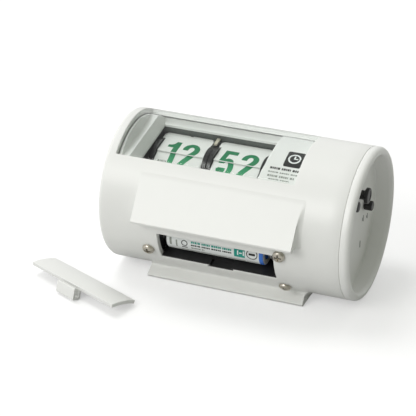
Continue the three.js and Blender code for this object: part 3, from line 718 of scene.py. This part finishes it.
def build_bezel():
    left, right = (end.x for end in box_mm("display_mask"))
    reach = math.sqrt(BEZEL_RADIUS**2 - LIP_DEPTH**2)
    end_marks = [END_FOOT + step for step in (-1.0, -0.75, -0.5, -0.25, 0, 0.3, 0.6, 0.9, END_HOLLOW)]
    marks = [*end_marks, WINDOW["left"], WINDOW["right"], SHELF_EDGE, PANEL_EDGE]
    xs = grid_lines(left, right, marks, 0.8)
    us = grid_lines(-reach, reach, [WINDOW["bottom"], WINDOW["top"]], 0.8)
    bm = bmesh.new()
    face, back = {}, {}
    for i, x in enumerate(xs):
        for j, u in enumerate(us):
            height = bezel_height(x, u)
            face[i, j] = bm.verts.new(in_display(x, u, height) * MM)
            back[i, j] = bm.verts.new(in_display(x, u, height - BEZEL_WALL) * MM)

    def solid(i, j):
        if not (0 <= i < len(xs) - 1 and 0 <= j < len(us) - 1):
            return False
        x = (xs[i] + xs[i + 1]) / 2
        u = (us[j] + us[j + 1]) / 2
        return not (WINDOW["left"] < x < WINDOW["right"] and WINDOW["bottom"] < u < WINDOW["top"])

    for i in range(len(xs) - 1):
        for j in range(len(us) - 1):
            if not solid(i, j):
                continue
            for sheet in (face, back):
                bm.faces.new([sheet[i, j], sheet[i + 1, j], sheet[i + 1, j + 1], sheet[i, j + 1]])
            edges = [
                (solid(i - 1, j), (i, j), (i, j + 1)),
                (solid(i + 1, j), (i + 1, j), (i + 1, j + 1)),
                (solid(i, j - 1), (i, j), (i + 1, j)),
                (solid(i, j + 1), (i, j + 1), (i + 1, j + 1)),
            ]
            for filled, start, stop in edges:
                if not filled:
                    bm.faces.new([face[start], face[stop], back[stop], back[start]])
    drop_loose(bm)
    finish_mesh("display_bezel", bm, INNER_WHITE, "casing", ["display_mask"], sharp=22)


# ---- drums and cards

WHEEL_R = 10.3
GROOVE_PITCH = 0.42
GROOVE_DEPTH = 0.09
RIM_EDGE = 0.15
DRUM_SEGMENTS = 128


def wheel_profile(left, right, radius):
    """A wheel's rim from its left face to its right one, with fine grooves round it."""
    grooves = max(3, round((right - left) / GROOVE_PITCH))
    width = (right - left - 2 * RIM_EDGE) / grooves
    floor = radius - GROOVE_DEPTH
    points = [(radius - RIM_EDGE, left)]
    for i in range(grooves):
        x = left + RIM_EDGE + i * width
        points += [(radius, x), (radius, x + width * 0.6)]
        points += [(floor, x + width * 0.72), (floor, x + width * 0.9)]
    points.append((radius - RIM_EDGE, right))
    return points


def build_drum(name, node, body, wheels, sleeve):
    """Two grooved wheels on a hub, with the sleeve that carries the drum's gear."""
    hub, collar, bore = 6.2, 2.2, 1.5
    (a, b), (c, d) = wheels
    low, high = sleeve
    profile = [(bore, low), (collar, low), (collar, a)] if low < a else [(bore, a)]
    profile += [*wheel_profile(a, b, WHEEL_R), (hub, b), (hub, c), *wheel_profile(c, d, WHEEL_R)]
    profile += [(collar, d), (collar, high), (bore, high)] if high > d else [(bore, d)]
    bm = bmesh.new()
    rings = lathe(bm, profile, about_x(DRUM_CENTRE), DRUM_SEGMENTS)
    ring_faces(bm, [rings[-1], rings[0]])
    finish_mesh(name, bm, WHEEL, body, [node])


# ---- numerals

NUMERAL_HEIGHT = 18.0
HALF_GAP = 0.04
LIFT = 0.02
INK = 0.05


def smooth(points, steps=7):
    """A Catmull-Rom curve through points."""
    path = []
    for i in range(len(points) - 1):
        near = [points[min(max(k, 0), len(points) - 1)] for k in range(i - 1, i + 3)]
        for s in range(steps):
            t = s / steps
            weights = (-t + 2 * t**2 - t**3, 2 - 5 * t**2 + 3 * t**3, t + 4 * t**2 - 3 * t**3, t**3 - t**2)
            path.append(tuple(0.5 * sum(w * point[k] for w, point in zip(weights, near)) for k in (0, 1)))
    return path + [points[-1]]


def one():
    flag = smooth([(0, 14.9), (1.7, 15.3), (2.9, 16.4), (3.4, 18)])
    return [(5.9, 18), (5.9, 0), (3.1, 0), (3.1, 12.9), (0, 12.9), *flag]


def two():
    outer = corner(4.3, 13.2, 4.3, 4.8, 190, 0, 14)
    down = smooth([(8.6, 13.2), (8.3, 11.1), (7.2, 8.9), (5.4, 6.2), (4.0, 4.0), (3.6, 2.8)])
    base = [(8.5, 2.8), (8.5, 0), (0, 0)]
    up = smooth([(0, 0), (0.2, 2.4), (1.3, 5.0), (3.2, 8.0), (5.0, 10.9), (5.75, 13.2)])
    inner = corner(4.3, 13.2, 1.45, 2.3, 0, 180, 10)
    return [*outer, *down[1:], *base, *up[1:], *inner[1:], (2.85, 12.35)]


def five():
    right = [(3.0, 10.9), (4.9, 11.7), (7.2, 10.5), (8.3, 6.2)]
    bowl = smooth([*right, (7.3, 1.6), (4.2, 0), (1.1, 1.3), (0, 5.0)])
    left = [(2.75, 5.0), (3.1, 3.0), (4.2, 2.4), (5.3, 3.4)]
    hollow = smooth([*left, (5.55, 6.1), (5.1, 8.5), (4.1, 9.2), (2.9, 8.2)])
    return [(0.35, 8.2), (1.1, 18), (7.7, 18), (7.7, 15.2), (3.4, 15.2), *bowl, *hollow]


def three():
    outer = smooth([(0.1, 13.2), (1.0, 16.8), (4.2, 18), (7.2, 16.8), (8.0, 13.8), (7.5, 11.0), (6.3, 9.5)])
    lower = smooth([(6.3, 9.5), (7.9, 8.0), (8.4, 5.2), (7.4, 1.5), (4.2, 0), (1.0, 1.5), (0, 5.3)])
    hollow = smooth([(2.75, 5.3), (3.1, 3.0), (4.2, 2.4), (5.3, 3.2), (5.6, 5.4), (5.0, 7.5), (3.3, 8.2)])
    under = smooth([(3.3, 10.5), (4.8, 11.2), (5.25, 13.3), (4.2, 15.6), (3.1, 15.0), (2.85, 13.2)])
    return [*outer, *lower[1:], *hollow, *under]


UPPER_ANGLE = 171.7
LOWER_ANGLE = -28.0
CARD_HALF = 0.2
LOWER_INSET = 0.75

HOUR_NOW = [("one", one, -43.8), ("two", two, -35.7)]
MINUTE_NOW = [("five", five, -15.7), ("two", two, -5.1)]
HOUR_NEXT = [("one", one, -38.6)]
MINUTE_NEXT = [("five", five, -15.7), ("three", three, -5.1)]
POINT_X = -14.9


# ---- printing and small parts


def printed(name, outlines, place, material, body, keep=None, spacing=0.0):
    """Thin ink in the shape of flat (across, up) outlines; place(across, up, raised) puts it on a surface."""
    bm = bmesh.new()
    for outline in outlines:
        bm.faces.new([bm.verts.new(Vector((a, u, 0)) * MM) for a, u in outline])
    bm.normal_update()
    bmesh.ops.triangulate(bm, faces=list(bm.faces))
    if keep:
        trimmed(bm, *keep)
    if spacing:
        cut_across(bm, [point for outline in outlines for point in outline], spacing)
    grown = bmesh.ops.extrude_face_region(bm, geom=list(bm.faces))
    lifted = [v for v in grown["geom"] if isinstance(v, bmesh.types.BMVert)]
    bmesh.ops.translate(bm, verts=lifted, vec=Vector((0, 0, INK * MM)))
    for vert in bm.verts:
        across, up, raised = vert.co / MM
        vert.co = place(across, up, raised) * MM
    finish_mesh(name, bm, material, body)


def block(x0, x1, u0, u1, soft=0.0):
    """A rectangle's outline, with rounded corners if soft."""
    if not soft:
        return [(x0, u0), (x1, u0), (x1, u1), (x0, u1)]
    right, left, low, high = x1 - soft, x0 + soft, u0 + soft, u1 - soft
    corners = ((right, low, -90), (right, high, 0), (left, high, 90), (left, low, 180))
    return [point for x, u, turn in corners for point in corner(x, u, soft, soft, turn, turn + 90, 4)]


def annulus(x, u, outer, inner):
    """A ring's outline, left open by a hair so that it stays one loop."""
    return corner(x, u, outer, outer, 2, 358, 32) + corner(x, u, inner, inner, 358, 2, 32)


def dashes(x0, x1, u, height, widths=(0.9, 0.55, 0.75, 0.4, 1.05, 0.6), gap=0.3):
    """A row of short bars where the real object has small print."""
    bars = []
    x = x0
    index = 0
    while x < x1:
        width = min(widths[index % len(widths)], x1 - x)
        if width > 0.2:
            bars.append(block(x, x + width, u - height / 2, u + height / 2))
        x += width + gap * (3 if index % 5 == 4 else 1)
        index += 1
    return bars


def wrapped(centre, radius, angle):
    """A surface round an axis: across is X, up is the distance round from an angle."""
    y0, z0 = centre

    def place(x, up, raised):
        turn = math.radians(angle) + up / radius
        reach = radius + LIFT + raised
        return Vector((x, y0 - reach * math.cos(turn), z0 + reach * math.sin(turn)))

    return place


# ---- cards


def direction(angle):
    turn = math.radians(angle)
    return Vector((0, -math.cos(turn), math.sin(turn)))


SPLIT = Vector((0, SPLIT_Y, SPLIT_Z))
UPPER_OUT = direction(UPPER_ANGLE - 90)
LOWER_OUT = direction(LOWER_ANGLE + 90)
PACK_ROOT = {"hour": (70.6, 173.42), "minute": (65.6, 172.87)}
PACK_RING = 7.2
PACK_HALF = 0.15
PACK_MARGIN = 0.3


def card_frame(along, out, shift, origin=SPLIT):
    """Maps (x, up, raised) to a card; along is where up points and out where its face looks."""

    def place(x, up, raised):
        return Vector((x, 0, 0)) + origin + along * up + out * (shift + raised)

    return place


def lower_front():
    return card_frame(-direction(LOWER_ANGLE), LOWER_OUT, CARD_HALF + LIFT - LOWER_INSET)


def upper_front():
    return card_frame(direction(UPPER_ANGLE), UPPER_OUT, CARD_HALF + LIFT)


def flap_back():
    """The back of the falling card, where the next number's lower half is printed upside down."""
    place = card_frame(direction(UPPER_ANGLE), -UPPER_OUT, CARD_HALF + LIFT)
    return lambda x, up, raised: place(x, -up, raised)


def pack_front(card):
    """The face of the first waiting card, and how far above the split line the card starts."""
    root_angle, leaf_angle = PACK_ROOT[card]
    root = Vector((0, *DRUM_CENTRE)) + direction(root_angle) * PACK_RING
    along = direction(leaf_angle)
    start = (root - SPLIT).dot(along)
    place = card_frame(along, direction(leaf_angle - 90), PACK_HALF + LIFT, root - along * start)
    return place, start


def moved(outline, x, up):
    return [(a + x, u + up) for a, u in outline]


def build_numerals():
    above = (HALF_GAP, True)
    below = (-HALF_GAP, False)
    sets = [("hour", HOUR_NOW, HOUR_NEXT), ("minute", MINUTE_NOW, MINUTE_NEXT)]
    for card, now, coming in sets:
        for label, shape, x in now:
            outline = [moved(shape(), x, -NUMERAL_HEIGHT / 2)]
            name = f"{card}_{label}"
            flap = f"{card}_flap"
            printed(f"{name}_top", outline, upper_front(), GREEN_DARK, flap, above)
            # The lower halves use the green with painted light, paler down the card.
            printed(f"{name}_bottom", outline, lower_front(), GREEN_PAINTED_LIT, "casing", below)
        waiting, start = pack_front(card)
        on_card = (start + PACK_MARGIN, True)
        for label, shape, x in coming:
            outline = [moved(shape(), x, -NUMERAL_HEIGHT / 2)]
            name = f"{card}_next_{label}"
            printed(f"{name}_bottom", outline, flap_back(), GREEN_PAINTED_LIT, flap, below)
            printed(f"{name}_top", outline, waiting, GREEN_DARK, "casing", on_card)
    # The hour point uses the same green with painted light, paler down the card.
    point = [block(POINT_X, POINT_X + 3.8, -6.3, -3.45)]
    printed("hour_point", point, lower_front(), GREEN_PAINTED_LIT, "casing")
    marks = dashes(-45.6, -41.1, -5.5, 1.1)
    printed("hour_small_marks", marks, lower_front(), PRINT_GREY, "casing")


def build_drums():
    hour_wheels = ((-50.4, -48.0), (-23.1, -20.9))
    minute_wheels = ((-20.5, -18.5), (6.3, 8.2))
    build_drum("hour_drum_wheels", "hour_drum", "hour_train", hour_wheels, (-55.7, -50.4))
    build_drum("minute_drum_wheels", "minute_drum", "minute_train", minute_wheels, (-20.5, 17.9))


# ---- printed panel under the window


def build_panel_print():
    """A clock sign and four lines of bars, where the real clock has lettering."""
    radius = BEZEL_RADIUS
    centre = (0.0, AXIS_Z)
    emblem = wrapped(centre, radius, 72.2)
    badge = [block(22.8, 31.2, -5.3, 4.9, 0.8)]
    printed("panel_badge", badge, emblem, PRINT, "casing", spacing=1.2)
    over = wrapped(centre, radius + INK, 72.2)
    dial = [annulus(27.0, 0.0, 3.1, 2.3), block(26.65, 27.35, 0.0, 1.8), block(26.65, 28.7, -0.35, 0.35)]
    printed("panel_badge_dial", dial, over, PRINT_WHITE, "casing", spacing=1.2)
    rows = [(60.2, 17.3, 31.2, 1.15, PRINT), (56.5, 17.0, 31.2, 0.7, PRINT_GREY)]
    rows += [(53.1, 17.2, 30.6, 1.0, PRINT_GREY), (50.2, 18.2, 28.2, 0.6, PRINT_GREY)]
    for index, (angle, x0, x1, height, ink) in enumerate(rows):
        place = wrapped(centre, radius, angle)
        printed(f"panel_line_{index + 1}", dashes(x0, x1, 0.0, height), place, ink, "casing")


# ---- battery cell


def build_cell():
    left, right = CELL_LOW.x, CELL_HIGH.x
    r = CELL_RADIUS
    profile = [(0, left), (2.2, left), (2.55, left + 0.12), (2.7, left + 0.45), (2.7, left + 1.05)]
    profile += [(3.1, left + 1.25), (5.3, left + 1.25), (5.6, left + 1.1), (6.5, left + 1.1)]
    profile += [(r - 0.35, left + 1.25), (r - 0.05, left + 1.6), (r - 0.05, left + 2.1), (r, left + 2.15)]
    profile += [(r, right - 1.15), (r - 0.05, right - 1.1), (r - 0.05, right - 0.6)]
    profile += [(r - 0.25, right - 0.25), (r - 0.7, right), (4.6, right), (4.3, right - 0.2)]
    profile.append((0, right - 0.2))
    turned("aa_cell", profile, CELL_CENTRE, SLEEVE, "cell", ["battery_cell"], 128)
    label = [
        ("teal_line", dashes(-16.4, 4.4, 0.0, 1.0, gap=0.25), 3.5, PRINT_TEAL),
        ("first_line", dashes(-16.4, 4.4, 0.0, 0.8, gap=0.25), -9, PRINT),
        ("second_line", dashes(-16.4, -9.8, 0.0, 0.8, gap=0.25), -22, PRINT_GREY),
        ("rule", dashes(-21.5, 17.6, 0.0, 0.5, (9.0, 5.5, 7.0), 0.6), -40, PRINT_GREY),
        ("size_block", [block(5.4, 10.8, -2.5, 2.5, 0.3)], -2, PRINT_TEAL),
        ("minus_ring", [annulus(14.4, 0.0, 2.8, 2.4)], 0.5, PRINT),
        ("minus_bar", [block(12.8, 16.0, -0.55, 0.55, 0.2)], 0.5, PRINT),
        ("left_marks", [block(-27.4, -26.4, -2.0, 2.0), block(-24.2, -23.5, -2.6, 1.2)], -6, PRINT_GREY),
        ("waste_box", [annulus(-19.8, 0.0, 1.6, 1.2), block(-21.2, -18.4, -2.6, -2.1)], -5, PRINT),
    ]
    for mark, outlines, angle, ink in label:
        place = wrapped(CELL_CENTRE, r, angle)
        printed(f"cell_{mark}", outlines, place, ink, "cell", spacing=0.45)
    bars = [block(7.0, 7.6, -1.2, 1.2), block(8.1, 9.4, -0.3, 0.3), block(9.9, 10.5, -1.2, 1.2)]
    place = wrapped(CELL_CENTRE, r + INK, -2)
    printed("cell_size_marks", bars, place, PRINT_WHITE, "cell", spacing=0.45)


# ---- battery door

DOOR = {"length": 58.0, "chord": 7.6, "wall": 1.8, "yaw": -23.7, "tilt": -13.6, "clip": 12.4}


def bar(name, section, half, steps, place, replaced=()):
    """Part of the door: a bar along X with a closed (y, z) section, moved by place."""
    bm = bmesh.new()
    rings = []
    for i in range(steps + 1):
        x = -half + 2 * half * i / steps
        rings.append([bm.verts.new(place @ Vector((x, y, z)) * MM) for y, z in section])
    ring_faces(bm, rings)
    bm.faces.new(rings[0])
    bm.faces.new(rings[-1])
    return finish_mesh(name, bm, SHELL, "door", replaced, sharp=30)


def door_sections():
    """The curved leaf and its latch, with the leaf's edges at height 0."""
    half = math.degrees(math.asin(DOOR["chord"] / RADIUS))
    rise = RADIUS * math.cos(math.radians(half))

    def arc_point(radius, angle):
        turn = math.radians(angle)
        return (radius * math.sin(turn), radius * math.cos(turn) - rise)

    steps = [-half + 2 * half * i / 20 for i in range(21)]
    inner = RADIUS - DOOR["wall"]
    leaf = [arc_point(RADIUS, a) for a in steps] + [arc_point(inner, a) for a in reversed(steps)]
    c = DOOR["chord"]
    outer = [(-c + 1.2, -1.5), (-c + 1.2, -5.6), *corner(-c, -5.2, 1.2, 1.2, 0, -90, 5)[1:]]
    outer += corner(-c - 2.6, -5.6, 0.8, 0.8, -90, -180, 5)
    outer += [(-c - 3.4, -0.6), (-c - 3.1, -0.2), (-c - 2.4, -0.2), (-c - 2.1, -0.6)]
    hollow = [(-c - 2.1, -4.7), (-c - 1.7, -5.1), (-c - 0.4, -5.1), (-c, -4.7)]
    return leaf, outer + hollow + [(-c, -1.5), (-c + 0.2, -1.2), (-c + 1.2, -1.0)]


def build_door():
    """The loose door, turned and tilted until its low corner meets the CAD door's box."""
    leaf, latch = door_sections()
    tilt = Matrix.Rotation(math.radians(DOOR["tilt"]), 4, "X")
    turn = Matrix.Rotation(math.radians(DOOR["yaw"]), 4, "Z") @ tilt
    half, clip_half = DOOR["length"] / 2, DOOR["clip"] / 2
    ends = [(leaf, half), (latch, clip_half)]
    corners = [turn @ Vector((x, *point)) for section, end in ends for x in (-end, end) for point in section]
    lowest = Vector(min(c[i] for c in corners) for i in range(3))
    place = Matrix.Translation(box_mm("battery_door")[0] - lowest) @ turn
    panel = bar("door_panel", leaf, half, 8, place, ["battery_door"])
    bevelled(panel, 0.28, 3)
    clip = bar("door_clip", latch, clip_half, 3, place)
    bevelled(clip, 0.22, 3)


# ---- screws, knobs and marks

SCREWS = [("chassis_screw_1", -25.7), ("chassis_screw_2", -7.7), ("chassis_screw_3", -45.7)]


def turned_to(angle, x):
    """Turns +X, the lathe's axis, out along a casing angle at an X position."""
    out = direction(angle)
    side = Vector((1, 0, 0))
    return Matrix.Translation((x, 0, AXIS_Z)) @ Matrix((out, side, out.cross(side))).transposed().to_4x4()


def carve(piece, cutters):
    """Cuts the cutters out of a piece."""
    for cutter in cutters:
        cut = piece.modifiers.new("cut", "BOOLEAN")
        cut.operation = "DIFFERENCE"
        cut.solver = "EXACT"
        cut.object = cutter
    shape = bpy.data.meshes.new_from_object(piece.evaluated_get(bpy.context.evaluated_depsgraph_get()))
    piece.modifiers.clear()
    piece.data = shape
    for cutter in cutters:
        bpy.data.objects.remove(cutter)


def cutter_box(low, high, place):
    bm = bmesh.new()
    bmesh.ops.create_cube(bm, size=1.0)
    for vert in bm.verts:
        spot = Vector(low[i] + (vert.co[i] + 0.5) * (high[i] - low[i]) for i in range(3))
        vert.co = place @ spot * MM + MIDDLE
    return to_scene("cutter", to_mesh("cutter", bm))


def build_screws():
    """Domed screws with a cross slot; the profile's second number is the reach from the casing's axis."""
    profile = [(0, 30.4), (1.2, 30.4), (1.4, 30.7), (1.4, 37.15), (2.9, 37.15), (3.0, 37.3)]
    profile += [(3.0, 37.75), (2.9, 38.1), (2.65, 38.45)]
    profile += [(2.3, 38.72), (1.8, 38.93), (1.2, 39.06), (0.6, 39.12), (0, 39.14)]
    slot_floor, past_head = 38.0, 40
    for node, angle in SCREWS:
        low, high = box_mm(node)
        place = turned_to(angle, (low.x + high.x) / 2)
        bm = bmesh.new()
        lathe(bm, profile, lambda *spot, place=place: place @ Vector(spot), 64)
        screw = finish_mesh(f"{node}_head", bm, NICKEL, "casing", [node])
        halves = [(1.7, 0.36), (0.36, 1.7)]
        cuts = [cutter_box((slot_floor, -a, -b), (past_head, a, b), place) for a, b in halves]
        carve(screw, cuts)
        bevelled(screw, 0.07)


def on_face(profile):
    """A knob's profile of (radius, height over the control plate)."""
    return [(radius, END_PLATE + height) for radius, height in profile]


def build_controls():
    back = box_mm("time_set_knob")[0].x
    front = [(1.4, 0.3), (2.1, 0.3), (2.3, 0.5), (2.3, 3.2), (3.6, 3.2), (3.9, 3.5), (3.9, 4.6)]
    front += [(3.75, 4.95), (3.45, 5.1), (2.6, 5.1), (2.4, 4.9), (0, 4.9)]
    profile = [(0, back), (1.4, back), *on_face(front)]
    turned("time_knob", profile, DRUM_CENTRE, BLACK, "minute_train", ["time_set_knob"])

    centre = centre_of("alarm_knob")
    back = box_mm("alarm_knob")[0].x
    front = [(1.2, 0.3), (2.2, 0.3), (2.4, 0.5), (2.4, 3.8), (2.25, 4.08), (2.0, 4.2), (1.9, 4.15), (0, 4.15)]
    profile = [(0, back), (1.2, back), *on_face(front)]
    turned("alarm_set_knob", profile, centre, BLACK, "alarm_setting", ["alarm_knob"])
    cap = on_face([(0, 4.15), (1.85, 4.15), (1.85, 4.19), (0, 4.19)])
    turned("alarm_set_knob_face", cap, centre, BLACK_END, "alarm_setting", segments=48)

    centre = centre_of("alarm_button")
    back = box_mm("alarm_button")[0].x
    front = [(1.4, 1.8), (2.45, 1.8), (2.6, 1.95), (2.6, 2.8), (2.45, 3.1), (1.9, 3.4)]
    profile = [(0, back), (1.4, back), *on_face([*front, (1.0, 3.55), (0, 3.58)])]
    turned("alarm_push_button", profile, centre, BLACK, "alarm_push", ["alarm_button"])


def on_plate(x, up, raised):
    """The control plate, seen from outside: across runs towards +Y."""
    return Vector((END_PLATE + LIFT + raised, x, AXIS_Z + up))


def build_plate_marks():
    marks = [block(12.0, 12.6, 14.4, 17.4), block(11.4, 13.2, 15.6, 16.2)]
    marks += [block(14.2, 14.8, -7.0, -3.6), block(20.6, 21.2, -8.4, -5.6)]
    marks += [block(19.6, 20.2, -7.6, -6.4), block(13.0, 13.6, -6.2, -4.4)]
    printed("plate_marks", marks, on_plate, PRINT, "casing")
    # The sound slot is a flat near-black sheet: painted shade where the slot's hollow would be.
    slot = [block(10.2, 11.0, -19.4, -15.6, 0.38)]
    printed("sound_slot_painted_shade", slot, on_plate, SLOT_PAINTED_SHADE, "casing")


# ---- CAD pieces that stay


CARRIED = {
    CARD: ["hour_upper_leaf", "minute_upper_leaf", "hour_lower_leaf", "minute_lower_leaf"],
    PACK_CARD_PAINTED_SHADE: ["hour_leaf_pack", "minute_leaf_pack"],
    FRAME_BLACK: ["left_frame_plate", "right_frame_plate", "battery_tray", "alarm_switch", "sounder"]
    + ["clock_chip"],
    BAR: ["finger_bar"],
    ACETAL: ["hour_finger", "minute_finger", "carry_gear", "reduction_gear", "alarm_cam"],
    BRASS: ["hour_gear", "minute_pinion", "minute_gear", "motor_pinion"],
    BOARD: ["circuit_board"],
    STEEL: ["main_shaft", "frame_pillar_1", "frame_pillar_2", "frame_pillar_3", "carry_stud"]
    + ["reduction_stud", "motor_case", "crystal_can", "battery_spring", "positive_contact"],
}

SOFTENED = {
    0.1: CARRIED[CARD],
    0.15: CARRIED[BOARD],
    0.2: ["left_frame_plate", "right_frame_plate", "battery_tray", "alarm_switch", "sounder"]
    + ["finger_bar", "hour_finger", "minute_finger"],
    0.25: ["clock_chip"],
    0.4: ["crystal_can"],
}


def dress_carried():
    for material, names in CARRIED.items():
        for name in names:
            for place in frame["nodes"][name].material_slots:
                place.material = material
    for width, names in SOFTENED.items():
        for name in names:
            bevelled(frame["nodes"][name], width, harden=False)


# ---- floor, light and camera


def floor_paper():
    """Matt paper that looks as white as a studio sweep but throws less light up at the clock."""
    nodes = Nodes("floor_paper")
    fibre = nodes.noise(900, 3.0)
    ray = nodes.add("LightPath")
    nodes.set(
        Base_Color=nodes.mix(fibre, (0.6, 0.6, 0.6), (0.62, 0.62, 0.62)),
        Roughness=0.9,
        Specular_IOR_Level=0.1,
        Emission_Color=(1, 1, 1, 1),
        Emission_Strength=nodes.spread(ray.outputs["Is Camera Ray"], 0.0, 0.42),
    )
    return nodes.material


FLOOR_DROP = 0.0002


def build_floor():
    bm = bmesh.new()
    bmesh.ops.create_grid(bm, x_segments=8, y_segments=8, size=2.5)
    mesh = to_mesh("floor", bm)
    mesh.materials.append(floor_paper())
    floor = to_scene("floor", mesh)
    floor.location.z = -FLOOR_DROP


LIGHT_AIM = Vector((0, 0, 0.03))


def area_light(name, where, size, power, colour=(1, 1, 1), mirrored=True):
    data = bpy.data.lights.new(name, "AREA")
    data.shape = "DISK"
    data.size = size
    data.energy = power
    data.color = colour
    light = to_scene(name, data)
    light.location = where
    light.rotation_euler = (LIGHT_AIM - Vector(where)).to_track_quat("-Z", "Y").to_euler()
    light.visible_glossy = mirrored


SURROUND_LEFT = (0.9, 0.9, 0.9)
SURROUND_RIGHT = (0.12, 0.135, 0.085)
SURROUND_BEHIND = (0.95, 0.95, 0.95)


def studio_surround():
    """A pale studio all round, darker on the right and brightest behind the clock."""
    world = bpy.data.worlds.new("studio")
    world.use_nodes = True
    nodes = Tree(world.node_tree)
    place = nodes.split("Generated")
    sides = nodes.mix(nodes.ramp(place["X"], -1.0, 1.0), SURROUND_LEFT, SURROUND_RIGHT)
    colour = nodes.mix(nodes.ramp(place["Y"], 0.1, 1.0), sides, SURROUND_BEHIND)
    nodes.link(colour, nodes.tree.nodes["Background"].inputs["Color"])
    bpy.context.scene.world = world


def light_scene():
    studio_surround()
    area_light("key", (-0.7, -1.65, 1.25), 1.1, 17, (1, 0.995, 0.98))
    area_light("top", (-0.75, 0.3, 1.75), 1.0, 12, mirrored=False)
    bpy.context.scene.view_settings.view_transform = "Standard"


CAMERA_BACK = Vector((0.33003, -0.82369, 0.46109))
CAMERA_TARGET = Vector((-20.67, 0, 29.76))
CAMERA_DISTANCE = 0.89736
CAMERA_LENS = 159.0


def place_camera():
    data = bpy.data.cameras.new("camera")
    data.sensor_width = 36
    data.lens = CAMERA_LENS
    data.clip_end = 10
    camera = to_scene("camera", data)
    camera.location = CAMERA_TARGET * MM + MIDDLE + CAMERA_BACK * CAMERA_DISTANCE
    camera.rotation_euler = (-CAMERA_BACK).to_track_quat("-Z", "Y").to_euler()
    bpy.context.scene.camera = camera


build_shell()
build_foot("foot_rear", 1)
build_foot("foot_front", -1)
build_end_cap()
build_lens()
build_bezel()
build_panel_print()
build_drums()
build_numerals()
build_cell()
build_door()
build_screws()
build_controls()
build_plate_marks()
dress_carried()
build_floor()
light_scene()
place_camera()
